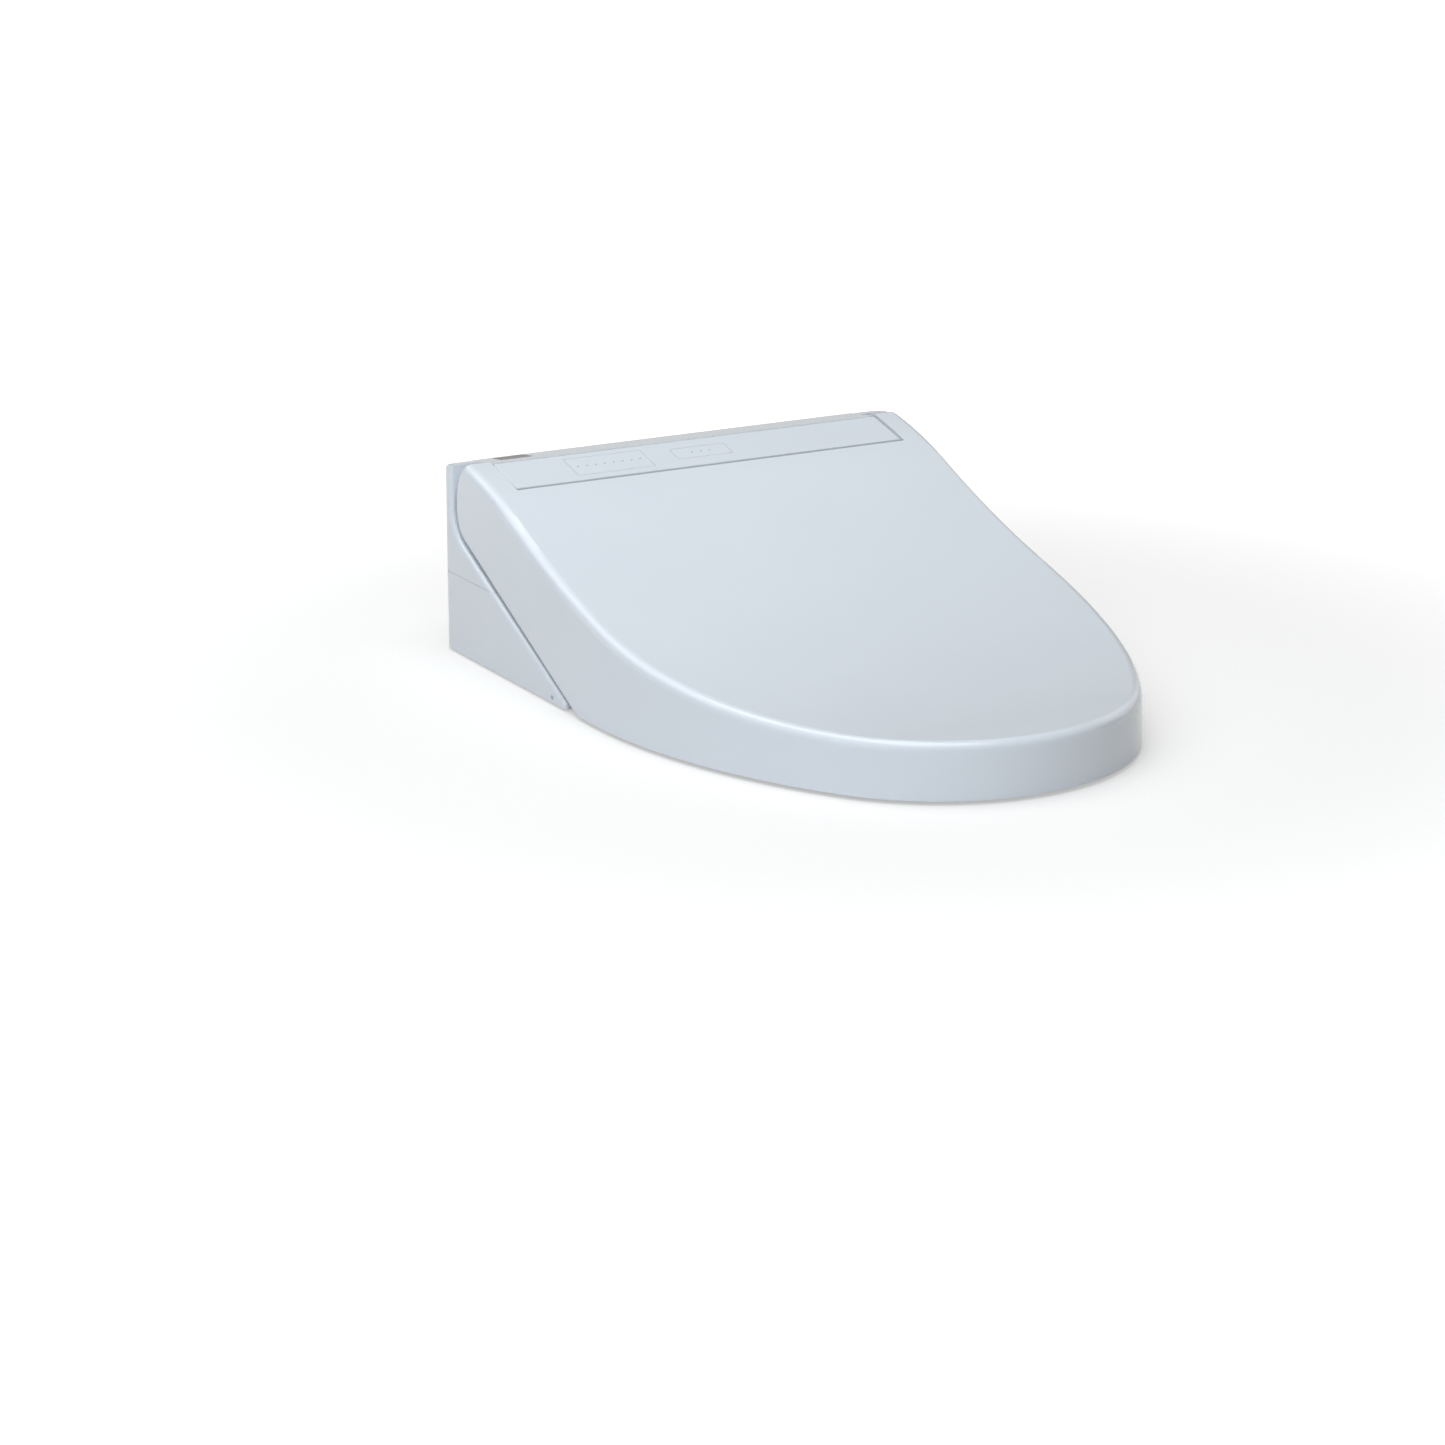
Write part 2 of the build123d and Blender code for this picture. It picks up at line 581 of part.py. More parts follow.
def rounded_edges(part):
    """Outer edges of the casing that are rounded: deck, recess, slant and tip."""
    found = ShapeList()
    corner = CASE_REAR - CASE_CORNER_RADIUS
    for edge in part.edges():
        middle = edge.position_at(0.5)
        on_side = abs(abs(middle.X) - CASE_HALF_WIDTH) < TOUCH and CASE_BOTTOM + TOUCH < middle.Z
        on_deck = abs(middle.Z - deck_z(middle.Y)) < TOUCH
        if (on_side and middle.Y < corner - TOUCH) or (on_deck and middle.Y > corner):
            found.append(edge)
    return found


def seam_edges(part):
    """Edges of the level seam on the casing's skin: along its sides, its rear, and round its rear corners."""
    found = ShapeList()
    for edge in part.edges():
        middle = edge.position_at(0.5)
        level = abs(middle.Z - SEAM_Z) < TOUCH and abs(edge.position_at(0).Z - SEAM_Z) < TOUCH
        outside = abs(middle.X) > INNER_SIDE + TOUCH or middle.Y > INNER_REAR + TOUCH
        on_skin = abs(abs(middle.X) - CASE_HALF_WIDTH) < TOUCH or abs(middle.Y - CASE_REAR) < TOUCH
        if level and outside and (on_skin or edge.geom_type == GeomType.CIRCLE):
            found.append(edge)
    return found


def involute(radius):
    """Involute of the pressure angle at which the pinion's flank passes a radius."""
    angle = acos(min(PINION_BASE / radius, 1.0))
    return tan(angle) - angle


def flank(radius):
    """Point of the pinion tooth's upper flank at a radius, with the tooth pointing along X."""
    thickness = GEAR_PITCH / 2 - GEAR_BACKLASH
    half = thickness / (2 * PINION_RADIUS) + involute(PINION_RADIUS) - involute(radius)
    return (radius * cos(half), radius * sin(half))


def mirrored(point):
    """The same point on the other side of X."""
    return (point[0], -point[1])


def save(builder, name):
    """Label a finished piece and write it."""
    builder.part.label = name
    export_step(builder.part, f"parts/{name}.step")


os.makedirs("parts", exist_ok=True)

# Lid: a drafted hood with two ears, hollow below, notched at the rear for the top panel
with BuildSketch() as lid_profile:
    with BuildLine():
        lid_line(0)
        Polyline(
            (EAR_REAR, HINGE_Z),
            (EAR_REAR, wedge_z(EAR_REAR, LID_GAP)),
            (wedge_y(LID_BOTTOM, LID_GAP), LID_BOTTOM),
            (LID_FRONT - FAR, LID_BOTTOM),
            (LID_FRONT - FAR, LID_FRONT_TOP),
        )
    make_face()
    lid_corners = lid_profile.vertices()
    fillet(lid_corners.sort_by_distance((EAR_REAR, wedge_z(EAR_REAR, LID_GAP)))[0], LID_CORNER_RADIUS)
    fillet(lid_corners.sort_by_distance(ear_corner(0))[0], EAR_CORNER_RADIUS)
with BuildSketch() as lid_hollow:
    with BuildLine():
        lid_line(LID_WALL)
        Polyline(
            (EAR_REAR - LID_WALL, HINGE_Z),
            (FAR, HINGE_Z),
            (FAR, -FAR),
            (LID_FRONT - FAR, -FAR),
            (LID_FRONT - FAR, LID_FRONT_TOP - LID_WALL),
        )
    make_face()
    fillet(lid_hollow.vertices().sort_by_distance(ear_corner(LID_WALL))[0], EAR_CORNER_RADIUS - LID_WALL)
lid_blank = hood(0, lid_profile.sketch)
lid_core = hood(LID_WALL, lid_hollow.sketch)
with BuildPart() as lid_outer:
    add(lid_blank)
    fillet(top_edges(lid_outer.part, 0), LID_EDGE_RADIUS)
with BuildPart() as lid_inner:
    add(lid_core)
    fillet(top_edges(lid_inner.part, LID_WALL), LID_EDGE_RADIUS - LID_WALL)
with BuildPart() as lid_cheeks:
    for side in (-1, 1):
        with BuildSketch(Plane.YZ.offset(side * CHEEK_INNER)):
            with Locations((HINGE_Y, HINGE_Z)):
                Circle(SEAT_BACK - CHEEK_SEAT_GAP)
        extrude(amount=side * (LID_HALF_WIDTH - CHEEK_INNER))
    add(lid_outer.part, mode=Mode.INTERSECT)
with BuildPart() as lid_shell:
    add(lid_outer.part)
    add(lid_inner.part, mode=Mode.SUBTRACT)
    with BuildSketch():
        with Locations((0, LIP_Y)):
            Rectangle(2 * (PANEL_HALF_WIDTH + PANEL_SIDE_GAP), FAR, align=(Align.CENTER, Align.MIN))
    extrude(amount=FAR, mode=Mode.SUBTRACT)
    add(lid_cheeks.part)
    with BuildSketch(Plane.YZ):
        with Locations((HINGE_Y, HINGE_Z)):
            Circle(PIN_RADIUS + PIN_RUNNING)
    extrude(amount=PIN_END + PIN_RUNNING, both=True, mode=Mode.SUBTRACT)
save(lid_shell, "lid_shell")

lid_pad_layer = band(LID_WALL, SEAT_DROP - LID_PAD_GAP)
with BuildPart() as lid_pads:
    with BuildSketch():
        with Locations(*both_sides(LID_PAD_PLACES)):
            Circle(LID_PAD_RADIUS)
    extrude(amount=LID_TOP)
    add(lid_pad_layer, mode=Mode.INTERSECT)
save(lid_pads, "lid_pads")

# Seat: upper shell with hinge lugs, a base that fills it, heater sheet between them, rubber bumpers
open_below = -SEAT_BOTTOM
ceiling = SEAT_DROP + SEAT_WALL
hollow_back = SEAT_BACK + SEAT_WALL
seat_blank = hood(SEAT_INSET, seat_section(SEAT_DROP, 0, SEAT_BACK))
seat_core = hood(SEAT_INSET + SEAT_WALL, seat_section(ceiling, open_below, hollow_back))
seat_hole = bowl_opening(0)
seat_hole_wall = bowl_opening(SEAT_WALL)
seat_hole_fit = bowl_opening(SEAT_WALL + SEAT_FIT)
heater_floor = ceiling + HEATER_GAP + HEATER_THICKNESS
base_section = seat_section(heater_floor + HEATER_GAP, 0, hollow_back + SEAT_FIT)
with BuildSketch() as heater_layer:
    add(seat_section(ceiling + HEATER_GAP, open_below, hollow_back + SEAT_FIT))
    add(seat_section(heater_floor, open_below, hollow_back + SEAT_FIT), mode=Mode.SUBTRACT)
seat_base_blank = hood(SEAT_INSET + SEAT_WALL + SEAT_FIT, base_section)
seat_heater_blank = hood(SEAT_INSET + SEAT_WALL + SEAT_FIT, heater_layer.sketch)
with BuildPart() as seat_cavity:
    add(seat_core)
    add(seat_hole_wall, mode=Mode.SUBTRACT)
with BuildPart() as seat_top:
    add(seat_blank)
    fillet(top_edges(seat_top.part, SEAT_DROP), SEAT_EDGE_RADIUS)
    add(seat_hole, mode=Mode.SUBTRACT)
    fillet(seat_top.edges(Select.LAST).sort_by(SortBy.LENGTH)[-1], SEAT_RIM_RADIUS)
    add(seat_cavity.part, mode=Mode.SUBTRACT)
    for side in (-1, 1):
        with BuildSketch(Plane.YZ.offset(side * LUG_INNER)):
            with Locations((HINGE_Y, HINGE_Z)):
                Circle(LUG_RADIUS)
                Rectangle(
                    SEAT_BACK + SEAT_WALL / 2,
                    2 * LUG_RADIUS,
                    rotation=180 + WEDGE_ANGLE,
                    align=(Align.MIN, Align.CENTER),
                )
        extrude(amount=side * LUG_WIDTH)
    with BuildSketch(Plane.YZ):
        with Locations((HINGE_Y, HINGE_Z)):
            Circle(PIN_RADIUS + PIN_RUNNING)
    extrude(amount=LUG_INNER + LUG_WIDTH, both=True, mode=Mode.SUBTRACT)
save(seat_top, "seat_top")

with BuildPart() as seat_base:
    add(seat_base_blank)
    add(seat_hole_fit, mode=Mode.SUBTRACT)
save(seat_base, "seat_base")

with BuildPart() as seat_heater:
    add(seat_heater_blank)
    add(seat_hole_fit, mode=Mode.SUBTRACT)
save(seat_heater, "seat_heater")

with BuildPart() as seat_bumpers:
    with BuildSketch():
        with Locations(*both_sides(BUMPER_PLACES)):
            RectangleRounded(*BUMPER_SIZE, BUMPER_CORNER)
    extrude(amount=SEAT_BOTTOM)
save(seat_bumpers, "seat_bumpers")

# Casing: one shell of a slanted body and a raised block under the top panel, parted at the seams
case_outline = case_section(0)
case_outline_inside = case_section(CASE_WALL)
block_outline = block_section(0)
block_outline_inside = block_section(CASE_WALL)
kept_area = case_area(0)
hollow_area = case_area(CASE_WALL)
with BuildPart() as side_blank:
    with BuildSketch(Plane.YZ):
        add(case_outline)
    extrude(amount=CASE_HALF_WIDTH, both=True)
    fillet(side_blank.edges().filter_by(Axis.Z).group_by(Axis.Y)[-1], CASE_CORNER_RADIUS)
    fillet(rounded_edges(side_blank.part), CASE_EDGE_RADIUS)
with BuildPart() as side_hollow:
    with BuildSketch(Plane.YZ):
        add(case_outline_inside)
    extrude(amount=INNER_SIDE, both=True)
    fillet(side_hollow.edges().filter_by(Axis.Z).group_by(Axis.Y)[-1], CASE_CORNER_RADIUS - CASE_WALL)
with BuildPart() as case_hollow:
    add(side_hollow.part)
    with BuildSketch(Plane.YZ):
        add(block_outline_inside)
    extrude(amount=BLOCK_INNER, both=True)
    with BuildSketch():
        add(hollow_area)
    extrude(amount=FAR, mode=Mode.INTERSECT)
with BuildPart() as case_shell:
    add(side_blank.part)
    with BuildSketch(Plane.YZ):
        add(block_outline)
    extrude(amount=PANEL_HALF_WIDTH, both=True)
    with BuildSketch():
        add(kept_area)
    extrude(amount=FAR, mode=Mode.INTERSECT)
    add(case_hollow.part, mode=Mode.SUBTRACT)

with BuildPart() as lower_case:
    add(case_shell.part)
    split(bisect_by=Plane.XY.offset(SEAM_Z), keep=Keep.BOTTOM)
    chamfer(seam_edges(lower_case.part), SEAM_CHAMFER)
    # raised floor over the mounting plate
    with BuildSketch(Plane.XY.offset(CASE_BOTTOM)):
        with Locations((0, CASE_REAR)):
            Rectangle(
                2 * (PLATE_HALF_WIDTH + PLATE_FIT + CASE_WALL),
                CASE_REAR - PLATE_FRONT + PLATE_FIT + CASE_WALL,
                align=(Align.CENTER, Align.MAX),
            )
    extrude(amount=PLATEAU_Z - CASE_BOTTOM)
    # bay for the water inlet and the cord gland
    with BuildSketch(Plane.XZ.offset(-CASE_REAR)):
        with Locations((BAY_X, INLET_Z)):
            Rectangle(BAY_SIZE[0] + 2 * CASE_WALL, BAY_SIZE[1] + 2 * CASE_WALL)
    extrude(amount=BAY_DEPTH + CASE_WALL)
    with BuildSketch(Plane.XZ.offset(-CASE_REAR)):
        with Locations((BAY_X, INLET_Z)):
            RectangleRounded(*BAY_SIZE, CASE_WALL)
    extrude(amount=BAY_DEPTH, mode=Mode.SUBTRACT)
    with BuildSketch(Plane.XZ.offset(-BAY_FRONT)):
        with Locations((INLET_X, INLET_Z)):
            Circle(INLET_NECK + NECK_FIT)
        with Locations((GLAND_X, INLET_Z)):
            Circle(GLAND_NECK + NECK_FIT)
    extrude(amount=CASE_WALL, mode=Mode.SUBTRACT)
    # sleeve of the filter cartridge
    with BuildSketch(Plane.YZ.offset(INNER_SIDE)):
        with Locations((FILTER_Y, FILTER_Z)):
            Rectangle(
                FILTER_SIZE[1] + 2 * (FILTER_FIT + SLEEVE_WALL),
                FILTER_SIZE[2] + 2 * (FILTER_FIT + SLEEVE_WALL),
            )
    extrude(amount=-(FILTER_SIZE[0] + FILTER_FIT + SLEEVE_WALL))
    with BuildSketch(Plane.YZ.offset(CASE_HALF_WIDTH)):
        with Locations((FILTER_Y, FILTER_Z)):
            Rectangle(FILTER_SIZE[1] + 2 * FILTER_FIT, FILTER_SIZE[2] + 2 * FILTER_FIT)
    extrude(amount=-(FILTER_SIZE[0] + CASE_WALL + FILTER_FIT), mode=Mode.SUBTRACT)
    # pocket and rails of the mounting plate, open to the rear
    with BuildSketch(Plane.XY.offset(PLATE_TONGUE_Z - PLATE_FIT)):
        with Locations((0, CASE_REAR)):
            Rectangle(
                2 * (PLATE_HALF_WIDTH + PLATE_FIT),
                CASE_REAR - PLATE_FRONT + PLATE_FIT,
                align=(Align.CENTER, Align.MAX),
            )
    extrude(amount=POCKET_TOP - PLATE_TONGUE_Z + PLATE_FIT, mode=Mode.SUBTRACT)
    with BuildSketch():
        with Locations((0, CASE_REAR)):
            Rectangle(
                2 * (PLATE_HALF_WIDTH - PLATE_TONGUE + PLATE_FIT),
                CASE_REAR - PLATE_FRONT + PLATE_FIT,
                align=(Align.CENTER, Align.MAX),
            )
    extrude(amount=POCKET_TOP, mode=Mode.SUBTRACT)
    # ports of the wand and the dryer in the front wall
    with BuildSketch(Plane.XZ.offset(-FRONT_WALL)):
        with Locations((0, PORT_Z)):
            RectangleRounded(*PORT_SIZE, PORT_CORNER)
        with Locations((DUCT_X, DUCT_Z)):
            Rectangle(*DUCT_INNER)
    extrude(amount=-CASE_WALL, mode=Mode.SUBTRACT)
    with BuildSketch(Plane.YZ.offset(DUCT_X)):
        with Locations((FLAP_Y, FLAP_AXIS_Z)):
            Circle(FLAP_PIN_RADIUS + PIN_RUNNING)
    extrude(amount=FLAP_HALF + FLAP_FIT + FLAP_PIN_LENGTH, both=True, mode=Mode.SUBTRACT)
    # release button's hole and the screws' counterbores
    with BuildSketch(Plane.YZ.offset(CASE_HALF_WIDTH)):
        with Locations((BUTTON_Y, BUTTON_Z)):
            RectangleRounded(BUTTON_SIZE[0] + 2 * BUTTON_FIT, BUTTON_SIZE[1] + 2 * BUTTON_FIT, BUTTON_FLANGE)
    extrude(amount=-CASE_WALL, mode=Mode.SUBTRACT)
    with BuildSketch(Plane.XY.offset(CASE_BOTTOM)):
        with Locations(*both_sides(POSTS)):
            Circle(SCREW_HEAD_RADIUS + SCREW_FIT)
    extrude(amount=SCREW_HEAD_HEIGHT, mode=Mode.SUBTRACT)
    with BuildSketch(Plane.XY.offset(CASE_BOTTOM)):
        with Locations(*both_sides(POSTS)):
            Circle(SCREW_RADIUS + SCREW_FIT)
    extrude(amount=CASE_WALL, mode=Mode.SUBTRACT)
save(lower_case, "lower_case")

with BuildPart() as upper_case:
    add(case_shell.part)
    split(bisect_by=Plane.XY.offset(SEAM_Z), keep=Keep.TOP)
    chamfer(seam_edges(upper_case.part), SEAM_CHAMFER)
    for place, roof in ((REAR_POST, deck_z(REAR_POST[1])), (FRONT_POST, wedge_z(FRONT_POST[1]))):
        with BuildSketch(Plane.XY.offset(FLOOR_Z)):
            with Locations(*both_sides([place])):
                Circle(POST_RADIUS)
        extrude(amount=roof - CASE_WALL - FLOOR_Z)
    with BuildSketch(Plane.XY.offset(FLOOR_Z)):
        with Locations(*both_sides(POSTS)):
            Circle(SCREW_RADIUS + SCREW_FIT)
    extrude(amount=SCREW_LENGTH, mode=Mode.SUBTRACT)
    with BuildSketch(Plane.YZ):
        with Locations((HINGE_Y, HINGE_Z)):
            Circle(PIN_RADIUS + PIN_RUNNING)
    extrude(amount=PANEL_HALF_WIDTH, both=True, mode=Mode.SUBTRACT)
    with BuildSketch(DECK):
        with Locations((RECEIVER_X, RECEIVER_Y)):
            RectangleRounded(RECEIVER_SIZE[0] + 2 * INSET_FIT, RECEIVER_SIZE[1] + 2 * INSET_FIT, INSET_CORNER)
    extrude(amount=-INSET_DEPTH, mode=Mode.SUBTRACT)
save(upper_case, "upper_case")

for side, name in ((-1, "side_nose_left"), (1, "side_nose_right")):
    with BuildPart() as nose_hollow:
        add(side_hollow.part)
        with BuildSketch():
            with Locations((side * (NOSE_INNER + CASE_WALL + FAR / 2), NOSE_SEAM - FAR / 2)):
                Rectangle(FAR, FAR)
        extrude(amount=FAR, mode=Mode.INTERSECT)
    with BuildPart() as side_nose:
        add(side_blank.part)
        with BuildSketch():
            with Locations((side * (NOSE_INNER + FAR / 2), NOSE_SEAM - FAR / 2)):
                Rectangle(FAR, FAR)
        extrude(amount=FAR, mode=Mode.INTERSECT)
        add(nose_hollow.part, mode=Mode.SUBTRACT)
        with BuildSketch(Plane.YZ.offset(side * INNER_SIDE)):
            with Locations((DRIP_HOLE_Y, DRIP_HOLE_Z)):
                Circle(DRIP_HOLE_RADIUS)
        extrude(amount=side * CASE_WALL, mode=Mode.SUBTRACT)
    save(side_nose, name)

# Top panel with its windows, and the receiver window in the deck
with BuildPart() as top_panel:
    with BuildSketch(Plane.YZ):
        with BuildLine():
            Polyline(
                PANEL_FRONT,
                PANEL_REAR,
                panel_point(PANEL_LENGTH, PANEL_THICKNESS),
                (PANEL_FRONT[0], PANEL_FRONT[1] - PANEL_THICKNESS / cos(PANEL_TILT)),
                close=True,
            )
        make_face()
    extrude(amount=PANEL_HALF_WIDTH, both=True)
    broad_faces = top_panel.faces().sort_by(SortBy.AREA)[-2:]
    fillet(broad_faces.sort_by(Axis.Z)[-1].edges(), PANEL_EDGE_RADIUS)
    with BuildSketch(PANEL_TOP):
        with Locations((WINDOW_X, PANEL_LENGTH / 2)):
            RectangleRounded(WINDOW_SIZE[0] + 2 * INSET_FIT, WINDOW_SIZE[1] + 2 * INSET_FIT, INSET_CORNER)
        with Locations((TOUCH_X, PANEL_LENGTH / 2)):
            RectangleRounded(TOUCH_SIZE[0] + 2 * INSET_FIT, TOUCH_SIZE[1] + 2 * INSET_FIT, INSET_CORNER)
    extrude(amount=-INSET_DEPTH, mode=Mode.SUBTRACT)
save(top_panel, "top_panel")

with BuildPart() as indicator_window:
    with BuildSketch(PANEL_TOP):
        with Locations((WINDOW_X, PANEL_LENGTH / 2)):
            RectangleRounded(*WINDOW_SIZE, INSET_CORNER)
    extrude(amount=-INSET_DEPTH)
save(indicator_window, "indicator_window")

with BuildPart() as touch_field:
    with BuildSketch(PANEL_TOP):
        with Locations((TOUCH_X, PANEL_LENGTH / 2)):
            RectangleRounded(*TOUCH_SIZE, INSET_CORNER)
    extrude(amount=-INSET_DEPTH)
save(touch_field, "touch_field")

with BuildPart() as receiver_window:
    with BuildSketch(DECK):
        with Locations((RECEIVER_X, RECEIVER_Y)):
            RectangleRounded(*RECEIVER_SIZE, INSET_CORNER)
    extrude(amount=-INSET_DEPTH)
save(receiver_window, "receiver_window")

# Mounting plate: a T-section that the casing's rails grip, with two slots for the bolts
with BuildPart() as base_plate:
    with BuildSketch():
        with Locations((0, (PLATE_FRONT + PLATE_REAR) / 2)):
            RectangleRounded(
                2 * (PLATE_HALF_WIDTH - PLATE_TONGUE), PLATE_REAR - PLATE_FRONT, PLATE_CORNER_RADIUS
            )
    extrude(amount=PLATE_THICKNESS)
    with BuildSketch(Plane.XY.offset(PLATE_TONGUE_Z)):
        with Locations((0, (PLATE_FRONT + PLATE_REAR) / 2)):
            RectangleRounded(2 * PLATE_HALF_WIDTH, PLATE_REAR - PLATE_FRONT, PLATE_CORNER_RADIUS)
    extrude(amount=PLATE_THICKNESS - PLATE_TONGUE_Z)
    with BuildSketch():
        with Locations((-BOLT_SPACING / 2, 0), (BOLT_SPACING / 2, 0)):
            SlotOverall(SLOT_LENGTH, SLOT_WIDTH)
    extrude(amount=PLATE_THICKNESS, mode=Mode.SUBTRACT)
save(base_plate, "base_plate")

with BuildPart() as unit_pads:
    with BuildSketch():
        with Locations(*both_sides(PAD_PLACES)):
            Circle(PAD_RADIUS)
    extrude(amount=CASE_BOTTOM)
save(unit_pads, "unit_pads")

# Hinge pins, and the soft-close dampers that hold them inside the block
with BuildPart() as hinge_pins:
    for side in (-1, 1):
        with BuildSketch(Plane.YZ.offset(side * BLOCK_INNER)):
            with Locations((HINGE_Y, HINGE_Z)):
                Circle(PIN_RADIUS)
        extrude(amount=side * (PIN_END - BLOCK_INNER))
save(hinge_pins, "hinge_pins")

for side, name in ((-1, "damper_left"), (1, "damper_right")):
    with BuildPart() as damper:
        with BuildSketch(Plane.YZ.offset(side * BLOCK_INNER)):
            with Locations((HINGE_Y, HINGE_Z)):
                Circle(DAMPER_NECK_RADIUS)
        extrude(amount=-side * DAMPER_LENGTH)
        with BuildSketch(Plane.YZ.offset(side * (BLOCK_INNER - DAMPER_NECK_LENGTH))):
            with Locations((HINGE_Y, HINGE_Z)):
                Circle(DAMPER_RADIUS)
        extrude(amount=-side * (DAMPER_LENGTH - 2 * DAMPER_NECK_LENGTH))
    save(damper, name)

# Spray wand with its toothed rack, tip and guide
with BuildSketch() as rack_tooth:
    half = GEAR_PITCH / 4 - GEAR_BACKLASH / 2
    lean = tan(radians(PRESSURE_ANGLE))
    with BuildLine():
        Polyline(
            (-half - RACK_DEDENDUM * lean, -RACK_DEDENDUM),
            (half + RACK_DEDENDUM * lean, -RACK_DEDENDUM),
            (half - RACK_ADDENDUM * lean, RACK_ADDENDUM),
            (-half + RACK_ADDENDUM * lean, RACK_ADDENDUM),
            close=True,
        )
    make_face()
with BuildPart() as nozzle_wand:
    with BuildSketch(WAND.offset(TIP_LENGTH)):
        Circle(WAND_RADIUS)
    extrude(amount=WAND_LENGTH - TIP_LENGTH)
    with BuildSketch(DRIVE):
        with Locations((RACK_START, RACK_ROOT)):
            Rectangle(WAND_LENGTH, WAND_RADIUS, align=(Align.MIN, Align.MIN))
    extrude(amount=WAND_RADIUS, both=True, mode=Mode.SUBTRACT)
    with BuildSketch(DRIVE):
        for count in range(RACK_TEETH):
            with Locations((RACK_START + (count + 0.5) * GEAR_PITCH, RACK_PITCH_W)):
                add(rack_tooth.sketch)
    extrude(amount=GEAR_WIDTH / 2, both=True)
    with BuildSketch(WAND):
        Circle(WAND_BORE)
    extrude(amount=WAND_LENGTH, mode=Mode.SUBTRACT)
save(nozzle_wand, "nozzle_wand")

with BuildPart() as nozzle_tip:
    with BuildSketch(WAND):
        Circle(WAND_RADIUS)
    extrude(amount=TIP_LENGTH)
    fillet(nozzle_tip.edges().group_by(Axis.Y)[0], TIP_ROUNDING)
    with BuildSketch(DRIVE):
        for place in SPRAY_PLACES:
            with Locations((place, WAND_RADIUS / 2)):
                Rectangle(2 * SPRAY_RADIUS, WAND_RADIUS)
    extrude(amount=SPRAY_RADIUS, both=True, mode=Mode.SUBTRACT)
save(nozzle_tip, "nozzle_tip")

with BuildPart() as nozzle_guide:
    with BuildSketch(WAND.offset(GUIDE_START)):
        with Locations((0, GUIDE_RISE)):
            Rectangle(2 * GUIDE_HALF, GUIDE_HALF + GUIDE_RISE, align=(Align.CENTER, Align.MAX))
    extrude(amount=GUIDE_END - GUIDE_START)
    for y in GUIDE_FEET:
        ground = FLOOR_Z if y < PLATE_FRONT else PLATEAU_Z
        underside = WAND_TIP_Z + (y - WAND_TIP_Y) * tan(TILT) - (GUIDE_HALF - GUIDE_WALL / 2) / cos(TILT)
        with BuildSketch(Plane.XY.offset(ground)):
            with Locations((0, y)):
                Rectangle(*GUIDE_FOOT)
        extrude(amount=underside - ground)
    with BuildSketch(DRIVE.offset(STEPPER_X - BRACKET_THICKNESS)):
        with Locations((PINION_U, PINION_W)):
            Circle(STEPPER_RADIUS)
            Rectangle(2 * STEPPER_RADIUS, PINION_W + GUIDE_HALF / 2, align=(Align.CENTER, Align.MAX))
            Circle(MOTOR_SHAFT_RADIUS + SCREW_FIT, mode=Mode.SUBTRACT)
    extrude(amount=BRACKET_THICKNESS)
    with BuildSketch(WAND):
        Circle(WAND_RADIUS + GUIDE_FIT)
    extrude(amount=GUIDE_END, mode=Mode.SUBTRACT)
save(nozzle_guide, "nozzle_guide")

with BuildSketch() as pinion_tooth:
    with BuildLine():
        root = (PINION_ROOT / 2, flank(PINION_BASE)[1])
        Polyline(mirrored(flank(PINION_BASE)), mirrored(root), root, flank(PINION_BASE))
        ThreePointArc(flank(PINION_BASE), flank((PINION_BASE + PINION_TIP) / 2), flank(PINION_TIP))
        ThreePointArc(flank(PINION_TIP), (PINION_TIP, 0), mirrored(flank(PINION_TIP)))
        ThreePointArc(
            mirrored(flank(PINION_TIP)),
            mirrored(flank((PINION_BASE + PINION_TIP) / 2)),
            mirrored(flank(PINION_BASE)),
        )
    make_face()
with BuildPart() as drive_pinion:
    with BuildSketch(DRIVE):
        with Locations((PINION_U, PINION_W)):
            Circle(PINION_ROOT)
            with PolarLocations(0, PINION_TEETH, start_angle=-90):
                add(pinion_tooth.sketch)
            Circle(MOTOR_SHAFT_RADIUS, mode=Mode.SUBTRACT)
    extrude(amount=GEAR_WIDTH / 2, both=True)
save(drive_pinion, "drive_pinion")

with BuildPart() as nozzle_motor:
    with BuildSketch(DRIVE.offset(STEPPER_X)):
        with Locations((PINION_U, PINION_W)):
            Circle(STEPPER_RADIUS)
    extrude(amount=STEPPER_LENGTH)
    with BuildSketch(DRIVE.offset(STEPPER_X)):
        with Locations((PINION_U, PINION_W)):
            Circle(MOTOR_SHAFT_RADIUS - PIN_RUNNING)
    extrude(amount=-(STEPPER_X + GEAR_WIDTH / 2))
save(nozzle_motor, "nozzle_motor")

